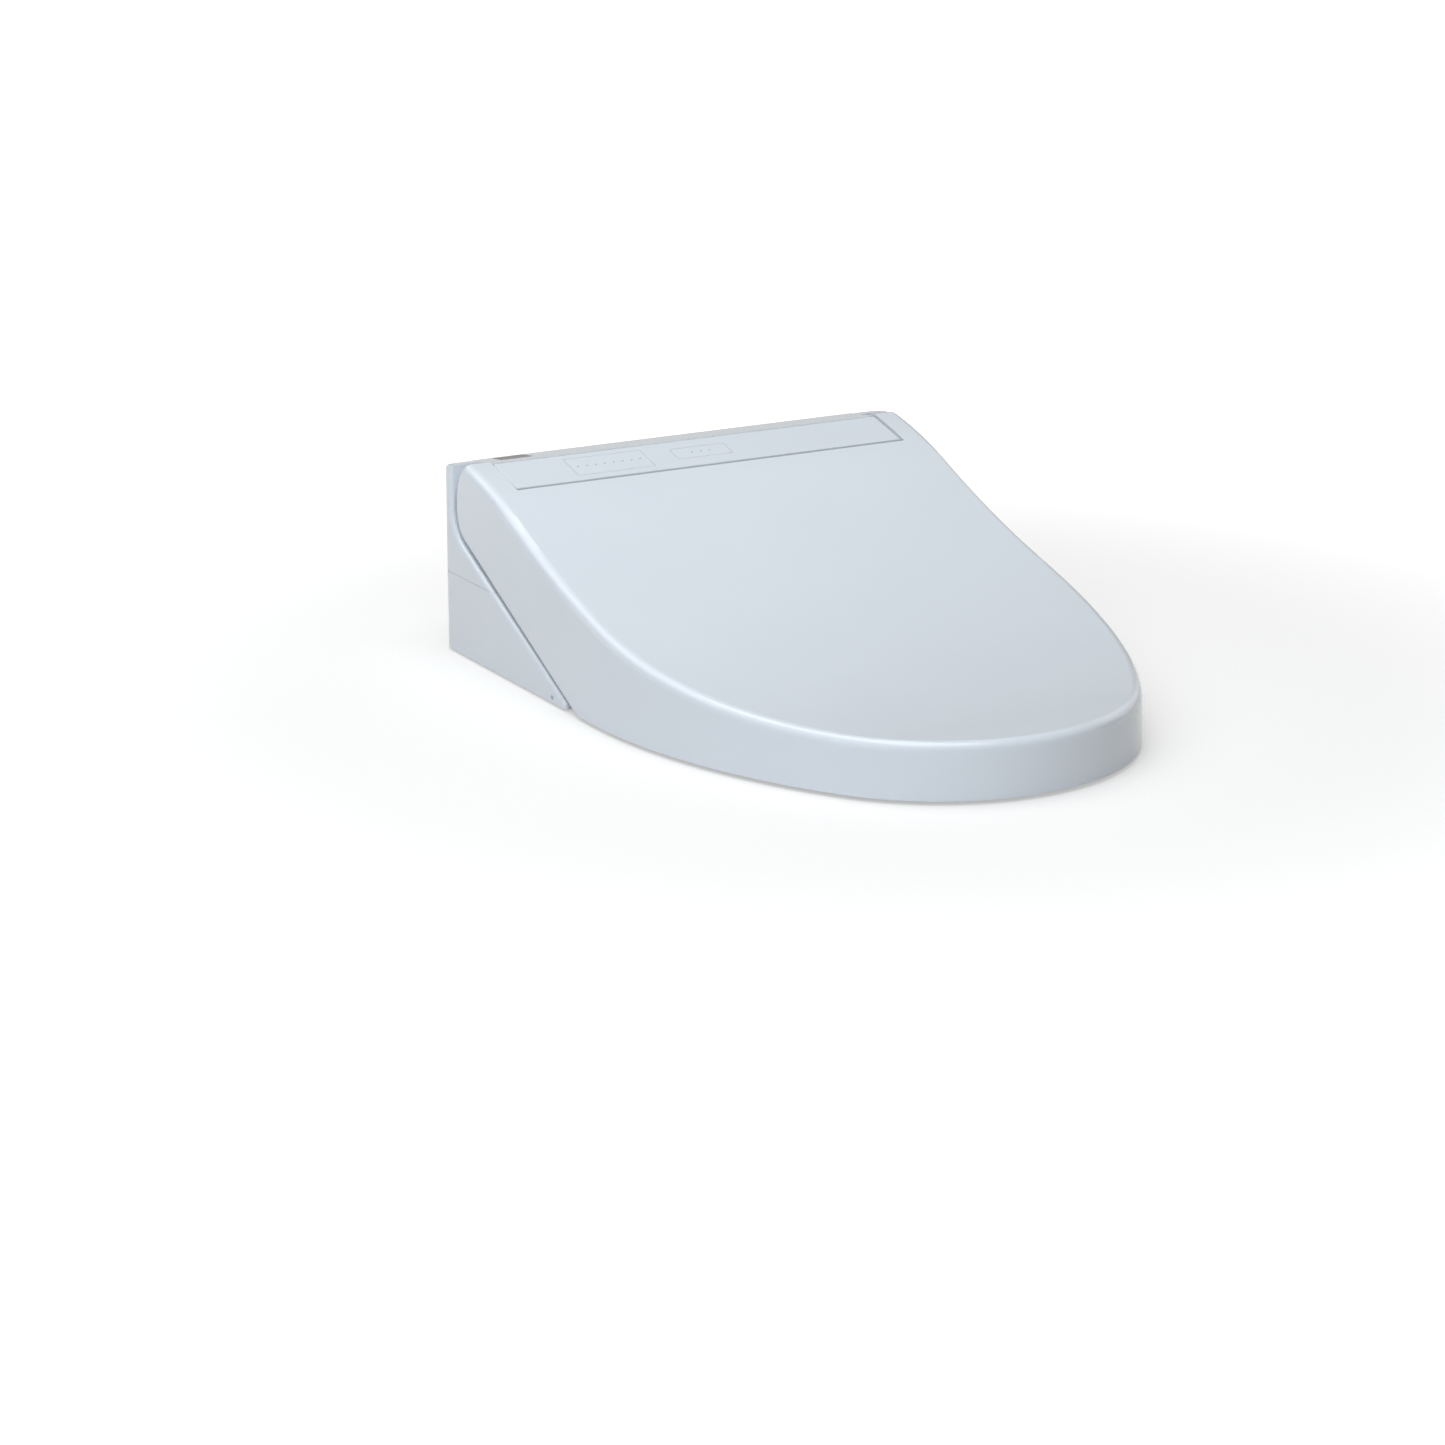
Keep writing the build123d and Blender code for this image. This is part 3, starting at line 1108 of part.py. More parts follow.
# Warm-air dryer: blower housing with its duct, impeller, motor, heating grid and outlet flap
with BuildPart() as dryer_housing:
    with BuildSketch(Plane.XY.offset(PLATEAU_Z)):
        with Locations((BLOWER_X, BLOWER_Y)):
            Circle(BLOWER_RADIUS)
    extrude(amount=BLOWER_HEIGHT)
    with BuildSketch(Plane.XZ.offset(-DUCT_END)):
        with Locations((DUCT_X, DUCT_Z)):
            Rectangle(DUCT_WIDTH, DUCT_HEIGHT)
    extrude(amount=-(BLOWER_Y - DUCT_END))
    with BuildSketch(Plane.XY.offset(PLATEAU_Z + BLOWER_WALL)):
        with Locations((BLOWER_X, BLOWER_Y)):
            Circle(BLOWER_RADIUS - BLOWER_WALL)
    extrude(amount=BLOWER_HEIGHT - 2 * BLOWER_WALL, mode=Mode.SUBTRACT)
    with BuildSketch(Plane.XZ.offset(-DUCT_END)):
        with Locations((DUCT_X, DUCT_Z)):
            Rectangle(*DUCT_INNER)
    extrude(amount=-(BLOWER_Y - DUCT_END), mode=Mode.SUBTRACT)
    with BuildSketch(Plane.XY.offset(BLOWER_TOP)):
        with Locations((BLOWER_X, BLOWER_Y)):
            Circle(IMPELLER_HUB)
            with PolarLocations(INTAKE_CIRCLE, INTAKE_COUNT):
                Circle(INTAKE_RADIUS)
    extrude(amount=-BLOWER_WALL, mode=Mode.SUBTRACT)
save(dryer_housing, "dryer_housing")

with BuildPart() as dryer_impeller:
    with BuildSketch(Plane.XY.offset(IMPELLER_Z)):
        with Locations((BLOWER_X, BLOWER_Y)):
            Circle(IMPELLER_RADIUS)
    extrude(amount=IMPELLER_DISC)
    with BuildSketch(Plane.XY.offset(IMPELLER_Z)):
        with Locations((BLOWER_X, BLOWER_Y)):
            Circle(IMPELLER_HUB)
            with PolarLocations(IMPELLER_RADIUS - BLADE_LENGTH / 2, IMPELLER_BLADES):
                Rectangle(BLADE_LENGTH, BLADE_THICKNESS, rotation=BLADE_LEAN)
    extrude(amount=IMPELLER_HEIGHT)
    with BuildSketch(Plane.XY.offset(IMPELLER_Z)):
        with Locations((BLOWER_X, BLOWER_Y)):
            Circle(MOTOR_SHAFT_RADIUS)
    extrude(amount=IMPELLER_HEIGHT, mode=Mode.SUBTRACT)
save(dryer_impeller, "dryer_impeller")

with BuildPart() as dryer_motor:
    with BuildSketch(Plane.XY.offset(BLOWER_TOP)):
        with Locations((BLOWER_X, BLOWER_Y)):
            Circle(DRYER_MOTOR_RADIUS)
    extrude(amount=DRYER_MOTOR_HEIGHT)
    with BuildSketch(Plane.XY.offset(BLOWER_TOP)):
        with Locations((BLOWER_X, BLOWER_Y)):
            Circle(MOTOR_SHAFT_RADIUS - PIN_RUNNING)
    extrude(amount=IMPELLER_Z - BLOWER_TOP)
save(dryer_motor, "dryer_motor")

heating_width = DUCT_INNER[0] - 2 * HEATING_FIT
heating_height = DUCT_INNER[1] - HEATING_FIT
heating_cell = (heating_width - HEATING_WEB) / HEATING_CELLS
with BuildPart() as dryer_heater:
    with BuildSketch(Plane.XZ.offset(-HEATING_Y)):
        with Locations((DUCT_X, PLATEAU_Z + BLOWER_WALL)):
            Rectangle(heating_width, heating_height, align=(Align.CENTER, Align.MIN))
        with Locations((DUCT_X, PLATEAU_Z + BLOWER_WALL + heating_height / 2)):
            with GridLocations(heating_cell, 1, HEATING_CELLS, 1):
                Rectangle(heating_cell - HEATING_WEB, heating_height - 2 * HEATING_WEB, mode=Mode.SUBTRACT)
    extrude(amount=HEATING_LENGTH / 2, both=True)
save(dryer_heater, "dryer_heater")

with BuildPart() as dryer_flap:
    with BuildSketch(Plane.YZ.offset(DUCT_X)):
        with Locations((FLAP_Y, FLAP_AXIS_Z)):
            Circle(FLAP_THICKNESS / 2)
            Rectangle(
                FLAP_THICKNESS,
                FLAP_AXIS_Z - DUCT_Z + DUCT_INNER[1] / 2 - FLAP_FIT,
                align=(Align.CENTER, Align.MAX),
            )
    extrude(amount=FLAP_HALF, both=True)
    with BuildSketch(Plane.YZ.offset(DUCT_X)):
        with Locations((FLAP_Y, FLAP_AXIS_Z)):
            Circle(FLAP_PIN_RADIUS)
    extrude(amount=FLAP_HALF + FLAP_FIT + FLAP_PIN_LENGTH - PIN_RUNNING, both=True)
save(dryer_flap, "dryer_flap")

# Water side: tank with its heating element, pump, inlet valve and threaded inlet
with BuildPart() as water_tank:
    with BuildSketch(Plane.XY.offset(PLATEAU_Z)):
        with Locations(TANK_CENTRE):
            RectangleRounded(*TANK_SIZE, TANK_CORNER_RADIUS)
    extrude(amount=TANK_HEIGHT)
    with BuildSketch(Plane.XY.offset(PLATEAU_Z + TANK_WALL)):
        with Locations(TANK_CENTRE):
            RectangleRounded(
                TANK_SIZE[0] - 2 * TANK_WALL, TANK_SIZE[1] - 2 * TANK_WALL, TANK_CORNER_RADIUS - TANK_WALL
            )
    extrude(amount=TANK_HEIGHT - 2 * TANK_WALL, mode=Mode.SUBTRACT)
    with BuildSketch(Plane.XY.offset(PLATEAU_Z + TANK_HEIGHT)):
        with Locations(TANK_CENTRE):
            with GridLocations(TANK_SIZE[0] / 2, 1, 2, 1):
                Circle(SPIGOT_RADIUS)
    extrude(amount=SPIGOT_LENGTH)
    with BuildSketch(Plane.XY.offset(PLATEAU_Z + TANK_HEIGHT + SPIGOT_LENGTH)):
        with Locations(TANK_CENTRE):
            with GridLocations(TANK_SIZE[0] / 2, 1, 2, 1):
                Circle(SPIGOT_BORE)
    extrude(amount=-(SPIGOT_LENGTH + TANK_WALL), mode=Mode.SUBTRACT)
    with BuildSketch(Plane.YZ.offset(TANK_HIGH[0])):
        with Locations((TANK_CENTRE[1], ELEMENT_Z)):
            with GridLocations(ELEMENT_SPACING, 1, 2, 1):
                Circle(ELEMENT_RADIUS + ELEMENT_FIT)
    extrude(amount=-2 * TANK_WALL, mode=Mode.SUBTRACT)
save(water_tank, "water_tank")

with BuildPart() as tank_heater:
    with BuildSketch(Plane.YZ.offset(TANK_HIGH[0])):
        with Locations((TANK_CENTRE[1], ELEMENT_Z)):
            Rectangle(ELEMENT_FLANGE[1], ELEMENT_FLANGE[2])
    extrude(amount=ELEMENT_FLANGE[0])
    with BuildLine(Plane.XY.offset(ELEMENT_Z)):
        Line(
            (TANK_HIGH[0], TANK_CENTRE[1] - ELEMENT_SPACING / 2),
            (TANK_HIGH[0] - ELEMENT_LENGTH, TANK_CENTRE[1] - ELEMENT_SPACING / 2),
        )
        ThreePointArc(
            (TANK_HIGH[0] - ELEMENT_LENGTH, TANK_CENTRE[1] - ELEMENT_SPACING / 2),
            (TANK_HIGH[0] - ELEMENT_LENGTH - ELEMENT_SPACING / 2, TANK_CENTRE[1]),
            (TANK_HIGH[0] - ELEMENT_LENGTH, TANK_CENTRE[1] + ELEMENT_SPACING / 2),
        )
        Line(
            (TANK_HIGH[0] - ELEMENT_LENGTH, TANK_CENTRE[1] + ELEMENT_SPACING / 2),
            (TANK_HIGH[0], TANK_CENTRE[1] + ELEMENT_SPACING / 2),
        )
    with BuildSketch(Plane.YZ.offset(TANK_HIGH[0])):
        with Locations((TANK_CENTRE[1] - ELEMENT_SPACING / 2, ELEMENT_Z)):
            Circle(ELEMENT_RADIUS)
    sweep()
save(tank_heater, "tank_heater")

with BuildPart() as spray_pump:
    with BuildSketch(Plane.XZ.offset(-PUMP_Y)):
        with Locations((PUMP_X, PUMP_Z)):
            Circle(PUMP_RADIUS)
    extrude(amount=PUMP_LENGTH / 2, both=True)
    with BuildSketch(Plane.XZ.offset(-PUMP_Y)):
        with Locations((PUMP_X, PUMP_Z)):
            Circle(SPIGOT_RADIUS)
    extrude(amount=PUMP_LENGTH / 2 + SPIGOT_LENGTH, both=True)
    with BuildSketch(Plane.XY.offset(PLATEAU_Z)):
        with Locations((PUMP_X, PUMP_Y)):
            Rectangle(*PUMP_FOOT)
    extrude(amount=PUMP_LIFT + PUMP_RADIUS / 2)
save(spray_pump, "spray_pump")

with BuildPart() as inlet_valve:
    with BuildSketch(Plane.XZ.offset(CASE_WALL - BAY_FRONT)):
        with Locations((INLET_X, INLET_Z)):
            Rectangle(VALVE_SIZE[0], VALVE_SIZE[2])
    extrude(amount=VALVE_SIZE[1])
    with BuildSketch(Plane.XY.offset(INLET_Z + VALVE_SIZE[2] / 2)):
        with Locations((INLET_X, BAY_FRONT - CASE_WALL - VALVE_SIZE[1] / 2)):
            Circle(COIL_RADIUS)
    extrude(amount=COIL_HEIGHT)
save(inlet_valve, "inlet_valve")

with BuildPart() as water_inlet:
    with BuildSketch(Plane.XZ.offset(CASE_WALL - BAY_FRONT)):
        with Locations((INLET_X, INLET_Z)):
            Circle(INLET_NECK)
    extrude(amount=-CASE_WALL)
    with BuildSketch(Plane.XZ.offset(-BAY_FRONT)):
        with Locations((INLET_X, INLET_Z)):
            RegularPolygon(INLET_FLANGE_RADIUS, 6)
    extrude(amount=-INLET_FLANGE)
    with BuildSketch(Plane.XZ.offset(-BAY_FRONT)):
        with Locations((INLET_X, INLET_Z)):
            Circle(INLET_RADIUS)
    extrude(amount=-INLET_LENGTH)
    with BuildSketch(Plane.XZ.offset(-BAY_FRONT - INLET_LENGTH)):
        with Locations((INLET_X, INLET_Z)):
            Circle(INLET_BORE)
    extrude(amount=INLET_LENGTH + CASE_WALL, mode=Mode.SUBTRACT)
save(water_inlet, "water_inlet")

with BuildPart() as cord_gland:
    with BuildSketch(Plane.XZ.offset(CASE_WALL + GLAND_NUT - BAY_FRONT)):
        with Locations((GLAND_X, INLET_Z)):
            RegularPolygon(GLAND_RADIUS, 6)
    extrude(amount=-GLAND_NUT)
    with BuildSketch(Plane.XZ.offset(CASE_WALL - BAY_FRONT)):
        with Locations((GLAND_X, INLET_Z)):
            Circle(GLAND_NECK)
    extrude(amount=-CASE_WALL)
    with BuildSketch(Plane.XZ.offset(-BAY_FRONT)):
        with Locations((GLAND_X, INLET_Z)):
            Circle(GLAND_RADIUS)
    extrude(amount=-GLAND_LENGTH)
    with BuildSketch(Plane.XZ.offset(-BAY_FRONT - GLAND_LENGTH)):
        with Locations((GLAND_X, INLET_Z)):
            Circle(GLAND_BORE)
    extrude(amount=GLAND_LENGTH + CASE_WALL + GLAND_NUT, mode=Mode.SUBTRACT)
save(cord_gland, "cord_gland")

# Filter cartridge and release button
with BuildPart() as filter_cartridge:
    with BuildSketch(Plane.YZ.offset(CASE_HALF_WIDTH)):
        with Locations((FILTER_Y, FILTER_Z)):
            Rectangle(FILTER_SIZE[1], FILTER_SIZE[2])
    extrude(amount=-(FILTER_SIZE[0] + CASE_WALL))
    with BuildSketch(Plane.YZ.offset(CASE_HALF_WIDTH)):
        with Locations((FILTER_Y, FILTER_Z - GRIP_RADIUS / 2)):
            Circle(GRIP_RADIUS / 2)
    extrude(amount=-GRIP_DEPTH, mode=Mode.SUBTRACT)
    with BuildSketch(Plane.XZ.offset(-FILTER_Y)):
        with Locations((INNER_SIDE - FILTER_SIZE[0] / 2, FILTER_Z)):
            with GridLocations(FILTER_SLOT[0] + SLEEVE_WALL, 1, FILTER_SLOTS, 1):
                Rectangle(*FILTER_SLOT)
    extrude(amount=FILTER_SIZE[1] / 2, both=True, mode=Mode.SUBTRACT)
save(filter_cartridge, "filter_cartridge")

with BuildPart() as release_button:
    with BuildSketch(Plane.YZ.offset(CASE_HALF_WIDTH)):
        with Locations((BUTTON_Y, BUTTON_Z)):
            RectangleRounded(*BUTTON_SIZE, BUTTON_FLANGE)
    extrude(amount=-BUTTON_DEPTH)
    with BuildSketch(Plane.YZ.offset(INNER_SIDE - BUTTON_FIT)):
        with Locations((BUTTON_Y, BUTTON_Z)):
            Rectangle(BUTTON_SIZE[0] + 2 * BUTTON_FLANGE, BUTTON_SIZE[1] + 2 * BUTTON_FLANGE)
    extrude(amount=-BUTTON_FLANGE)
save(release_button, "release_button")

# Electronics and screws
with BuildPart() as control_board:
    with BuildSketch(Plane.XY.offset(BOARD_Z)):
        with Locations((0, INNER_REAR)):
            Rectangle(BOARD_SIZE[0], BOARD_SIZE[1], align=(Align.CENTER, Align.MAX))
    extrude(amount=BOARD_SIZE[2])
    for x, length, depth, height in BOARD_CHIPS:
        with BuildSketch(Plane.XY.offset(BOARD_Z + BOARD_SIZE[2])):
            with Locations((x, INNER_REAR - BOARD_SIZE[1] / 2)):
                Rectangle(length, depth)
        extrude(amount=height)
save(control_board, "control_board")

with BuildPart() as power_supply:
    with BuildSketch(Plane.XY.offset(SUPPLY_Z)):
        with Locations((SUPPLY_X, INNER_REAR)):
            Rectangle(SUPPLY_SIZE[0], SUPPLY_SIZE[1], align=(Align.CENTER, Align.MAX))
    extrude(amount=SUPPLY_SIZE[2])
    fillet(power_supply.edges().filter_by(Axis.Y), SUPPLY_EDGE)
save(power_supply, "power_supply")

with BuildPart() as case_screws:
    with BuildSketch(Plane.XY.offset(CASE_BOTTOM)):
        with Locations(*both_sides(POSTS)):
            Circle(SCREW_HEAD_RADIUS)
    extrude(amount=SCREW_HEAD_HEIGHT)
    with BuildSketch(Plane.XY.offset(CASE_BOTTOM)):
        with Locations(*both_sides(POSTS)):
            Circle(SCREW_RADIUS)
    extrude(amount=SCREW_LENGTH)
save(case_screws, "case_screws")
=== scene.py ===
from math import radians

import bpy
import numpy as np
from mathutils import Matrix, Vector


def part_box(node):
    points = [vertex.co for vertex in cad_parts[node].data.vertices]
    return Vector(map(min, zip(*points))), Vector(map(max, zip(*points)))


# An electric bidet seat: a deep glossy lid over a heated seat, hinged on a casing with a spray wand inside.
# Metres, in the frame of the solids: X to the right, the front towards -Y, Z up from the rim plane.

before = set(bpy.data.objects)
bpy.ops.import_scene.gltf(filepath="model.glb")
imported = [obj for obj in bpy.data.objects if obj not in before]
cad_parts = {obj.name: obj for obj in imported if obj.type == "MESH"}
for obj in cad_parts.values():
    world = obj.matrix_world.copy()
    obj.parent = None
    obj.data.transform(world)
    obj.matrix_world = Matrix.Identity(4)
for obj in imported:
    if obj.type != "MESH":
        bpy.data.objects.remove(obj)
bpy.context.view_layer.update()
MM = 0.001

# The photograph's view: a long lens, low, from the left front. Metres, degrees, and mm for the lens.
CAMERA_AT = (-1.4982, -2.7050, 0.8591)
CAMERA_AZIMUTH = -29.3309
CAMERA_ELEVATION = 16.8083
CAMERA_LENS = 104.64
CAMERA_SENSOR = 36.0

# Length in mm over which the colour of a moulding drifts
MELT_DRIFT = 90.0

# How far the roughness of a drawn or turned metal goes below and above its mean, from line to line
LINE_BRIGHT = 0.06
LINE_DULL = 0.08

# Marks printed in the windows: a row of grey dots, their pitch and radius in mm, and their colour
MARK_PITCH = 7.5
MARK_RADIUS = 0.8
MARK_INK = "#A3ADB8"

# White of the casing and of the windows in it: the two ends between which it drifts
WHITE = "#DEE2E6"
WHITE_SHADE = "#DADEE3"

# The floor: half its width and its level in metres, just under the part, and the length in mm of the
# paper's fibres
FLOOR_REACH = 30.0
FLOOR_Z = -0.0005
PAPER_FIBRE = 3.0

# How much the floor is lifted to white: least near the part, where its shadow falls, and most where the
# lamps no longer reach. Distances in metres from the centre of the shadow.
SHADOW_CENTRE = (0.0, -0.2, 0.0)
SHADOW_NEAR = 0.35
SHADOW_FAR = 1.1
LIFT_NEAR = 0.42
LIFT_FAR = 0.9

# Soft studio light: a wide box high at the left rear for the line along the lid's edge, a large one overhead,
# a very broad cool one at the left front, and a weak, warmer one that fills the right side.
# Each has its place, its target, its width and height in metres, its watts and its colour.
LIGHTS = {
    "edge_box": ((-1.15, 0.85, 1.85), (0.0, -0.15, 0.05), (1.8, 1.3), 11.5, "#F8FCFF"),
    "overhead_box": ((-0.2, -0.2, 2.3), (0.0, -0.2, 0.0), (2.2, 1.6), 34.0, "#F4F9FC"),
    "left_box": ((-1.95, -2.15, 1.5), (0.0, -0.2, 0.05), (4.2, 3.0), 74.0, "#E9F3FE"),
    "right_box": ((2.6, 0.6, 1.0), (0.0, -0.15, 0.05), (2.2, 1.8), 8.0, "#FFF8F0"),
}

# The left box would bleach the lid in flat views from the right, so it isn't mirrored
UNMIRRORED = "left_box"

# An even, slightly warm surround lifts the shadows
SURROUND_COLOUR = "#FFFAF3"
SURROUND_STRENGTH = 0.13


def linear(colour):
    """sRGB hex to linear red, green, blue and alpha: a gamma of 2.4, with a straight toe for the darkest."""
    srgb = np.array([int(colour[at : at + 2], 16) for at in (1, 3, 5)]) / 255
    made = np.where(srgb <= 0.04045, srgb / 12.92, ((srgb + 0.055) / 1.055) ** 2.4)
    return (*(float(value) for value in made), 1.0)


def add_node(tree, kind, inputs=None, **settings):
    """Adds a node, sets its properties, and gives each named input a value or a link."""
    made = tree.nodes.new(kind)
    for name, value in settings.items():
        setattr(made, name, value)
    for name, value in (inputs or {}).items():
        if isinstance(value, bpy.types.NodeSocket):
            tree.links.new(value, made.inputs[name])
        else:
            made.inputs[name].default_value = value
    return made


def surface(name, sockets):
    """A new material with one shader, whose constant values are set on the shader's own sockets."""
    material = bpy.data.materials.new(name)
    material.use_nodes = True
    tree = material.node_tree
    tree.nodes.clear()
    shader = add_node(tree, "ShaderNodeBsdfPrincipled", sockets)
    add_node(tree, "ShaderNodeOutputMaterial", {"Surface": shader.outputs["BSDF"]})
    place = add_node(tree, "ShaderNodeTexCoord").outputs["Object"]
    return material, tree, shader, place


def wear(nodes, material):
    """Gives CAD nodes a material."""
    for name in nodes:
        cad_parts[name].data.materials.clear()
        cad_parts[name].data.materials.append(material)


def dress(tree, shader, pattern, relief, colours, roughnesses, depth_mm):
    """Colour and gloss follow one pattern between their two ends, the bump another. Returns the colour."""
    ends = {0: pattern, 6: linear(colours[0]), 7: linear(colours[1])}
    tint = add_node(tree, "ShaderNodeMix", ends, data_type="RGBA").outputs[2]
    tree.links.new(tint, shader.inputs["Base Color"])
    limits = {"Value": pattern, "To Min": roughnesses[0], "To Max": roughnesses[1]}
    gloss = add_node(tree, "ShaderNodeMapRange", limits).outputs["Result"]
    tree.links.new(gloss, shader.inputs["Roughness"])
    depth = {"Height": relief, "Distance": depth_mm * MM, "Strength": 1.0}
    bump = add_node(tree, "ShaderNodeBump", depth).outputs["Normal"]
    tree.links.new(bump, shader.inputs["Normal"])
    return tint


def moulded(nodes, name, colour, shade, roughness, spread, grain_mm, depth_mm, ior):
    """Moulded plastic or rubber: slow drifts of colour and gloss from the melt, the mould's grain as bump."""
    material, tree, shader, place = surface(name, {"IOR": ior})
    drift = {"Vector": place, "Scale": 1 / (MELT_DRIFT * MM), "Detail": 3.0}
    flow = add_node(tree, "ShaderNodeTexNoise", drift).outputs[0]
    texture = {"Vector": place, "Scale": 1 / (grain_mm * MM), "Detail": 2.0}
    grain = add_node(tree, "ShaderNodeTexNoise", texture).outputs[0]
    roughnesses = (roughness - spread, roughness + spread)
    tint = dress(tree, shader, flow, grain, (colour, shade), roughnesses, depth_mm)
    wear(nodes, material)
    return tree, shader, place, tint


def drawn(nodes, name, colour, shade, roughness, stretch, line_mm, depth_mm):
    """Metal with the lines of its making: stretched noise drives its colour, gloss and bump."""
    material, tree, shader, place = surface(name, {"Metallic": 1.0})
    laid = add_node(tree, "ShaderNodeMapping", {"Vector": place, "Scale": stretch}).outputs[0]
    pattern = {"Vector": laid, "Scale": 1 / (line_mm * MM), "Detail": 4.0}
    lines = add_node(tree, "ShaderNodeTexNoise", pattern).outputs[0]
    roughnesses = (roughness - LINE_BRIGHT, roughness + LINE_DULL)
    dress(tree, shader, lines, lines, (colour, shade), roughnesses, depth_mm)
    wear(nodes, material)


def print_row(window, tree, shader, place, tint, count):
    """Grey dots on a window: the distance to the nearest of a row of points, less than the dots' radius."""
    low, high = (np.array(corner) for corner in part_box(window))
    centre = {0: place, 1: tuple((low + high) / 2)}
    spot = add_node(tree, "ShaderNodeVectorMath", centre, operation="SUBTRACT").outputs[0]
    pitch = {0: spot, 1: (1 / (MARK_PITCH * MM),) * 3}
    steps = add_node(tree, "ShaderNodeVectorMath", pitch, operation="MULTIPLY").outputs[0]
    axes = add_node(tree, "ShaderNodeSeparateXYZ", {0: steps}).outputs
    # An odd row has a dot in the middle of the window, an even one has none there
    half_step = {0: axes[0], 1: 0.5 * (count % 2)}
    shifted = add_node(tree, "ShaderNodeMath", half_step, operation="ADD").outputs[0]
    cell = add_node(tree, "ShaderNodeMath", {0: shifted}, operation="FRACT").outputs[0]
    across = add_node(tree, "ShaderNodeMath", {0: cell, 1: 0.5}, operation="SUBTRACT").outputs[0]
    offset = add_node(tree, "ShaderNodeCombineXYZ", {0: across, 1: axes[1]}).outputs[0]
    away = add_node(tree, "ShaderNodeVectorMath", {0: offset}, operation="LENGTH").outputs[1]
    edge = {0: away, 1: MARK_RADIUS / MARK_PITCH}
    dot = add_node(tree, "ShaderNodeMath", edge, operation="LESS_THAN").outputs[0]
    reach = add_node(tree, "ShaderNodeMath", {0: axes[0]}, operation="ABSOLUTE").outputs[0]
    row_end = {0: reach, 1: count / 2}
    inside = add_node(tree, "ShaderNodeMath", row_end, operation="LESS_THAN").outputs[0]
    ink = add_node(tree, "ShaderNodeMath", {0: dot, 1: inside}, operation="MULTIPLY").outputs[0]
    ends = {0: ink, 6: tint, 7: linear(MARK_INK)}
    marked = add_node(tree, "ShaderNodeMix", ends, data_type="RGBA").outputs[2]
    tree.links.new(marked, shader.inputs["Base Color"])


# Glossy white ABS, moulded in a polished tool: a faintly cool white, glossy, with a slight orange peel
moulded(
    ["lid_shell", "upper_case", "lower_case", "side_nose_left", "side_nose_right", "top_panel"],
    "abs_polished_white", WHITE, WHITE_SHADE,
    roughness=0.12, spread=0.02, grain_mm=14.0, depth_mm=0.003, ior=1.53,
)

# The seat is glossy white polypropylene: warmer by a touch and slightly softer in gloss than the casing
moulded(
    ["seat_top"],
    "polypropylene_polished_white", "#E2E4E4", "#DCDFE0",
    roughness=0.16, spread=0.03, grain_mm=10.0, depth_mm=0.004, ior=1.49,
)

# Undersides and the cartridge are polypropylene from a spark-eroded mould: pale grey, matt, finely grained
moulded(
    ["seat_base", "base_plate", "filter_cartridge"],
    "polypropylene_spark_grained_grey", "#B9BFC4", "#AEB5BB",
    roughness=0.52, spread=0.06, grain_mm=0.9, depth_mm=0.05, ior=1.49,
)

# The button is satin ABS from a finely blasted mould
moulded(
    ["release_button"],
    "abs_blasted_grey", "#B7C0C8", "#AEB8C1",
    roughness=0.36, spread=0.05, grain_mm=0.5, depth_mm=0.015, ior=1.53,
)

# The windows are cast acrylic, back-printed in the casing's white, with a row of small grey marks
for window, count in {"indicator_window": 8, "touch_field": 3}.items():
    acrylic = moulded(
        [window],
        f"acrylic_cast_white_{window}", WHITE, WHITE_SHADE,
        roughness=0.05, spread=0.01, grain_mm=20.0, depth_mm=0.001, ior=1.49,
    )
    print_row(window, *acrylic, count)

# The receiver window is smoked polycarbonate that lets infra-red through
moulded(
    ["receiver_window"],
    "polycarbonate_smoked", "#34383D", "#2D3136",
    roughness=0.10, spread=0.01, grain_mm=20.0, depth_mm=0.001, ior=1.58,
)

# Bumpers and pads are compression-moulded silicone rubber: matt, with a dusty bloom
moulded(
    ["seat_bumpers", "lid_pads", "unit_pads"],
    "silicone_moulded_grey", "#9AA0A6", "#8C939A",
    roughness=0.68, spread=0.08, grain_mm=1.6, depth_mm=0.04, ior=1.42,
)

# The seat's heater is rolled aluminium foil: fine rolling lines from front to rear
drawn(
    ["seat_heater"],
    "aluminium_rolled_foil", "#C9CCCF", "#B4B8BC",
    roughness=0.30, stretch=(1.0, 0.05, 1.0), line_mm=1.2, depth_mm=0.02,
)

# Pins, screws and the tank's element are ground stainless steel: rings around the X axis
drawn(
    ["hinge_pins", "case_screws", "tank_heater"],
    "stainless_ground", "#A9ACB0", "#8D9196",
    roughness=0.26, stretch=(1.0, 0.08, 0.08), line_mm=0.4, depth_mm=0.01,
)

# Dampers, guide, duct and gland are glass-filled nylon: black, fibres just under a dull skin
moulded(
    ["damper_left", "damper_right", "dryer_housing", "nozzle_guide", "cord_gland"],
    "nylon_glass_filled_black", "#232527", "#1B1D1F",
    roughness=0.46, spread=0.08, grain_mm=1.1, depth_mm=0.03, ior=1.53,
)

# Motors and pump are deep-drawn steel cans with a zinc coat: faint drawing lines around the Y axis
drawn(
    ["nozzle_motor", "dryer_motor", "spray_pump"],
    "steel_deep_drawn_zinc", "#8E9296", "#787C81",
    roughness=0.38, stretch=(0.2, 1.0, 0.2), line_mm=1.5, depth_mm=0.02,
)

# Wand, pinion, impeller and flap are acetal: milky white, semi-gloss
moulded(
    ["nozzle_wand", "nozzle_tip", "drive_pinion", "dryer_impeller", "dryer_flap"],
    "acetal_moulded_white", "#E4E6E5", "#DADDDC",
    roughness=0.24, spread=0.05, grain_mm=4.0, depth_mm=0.006, ior=1.48,
)

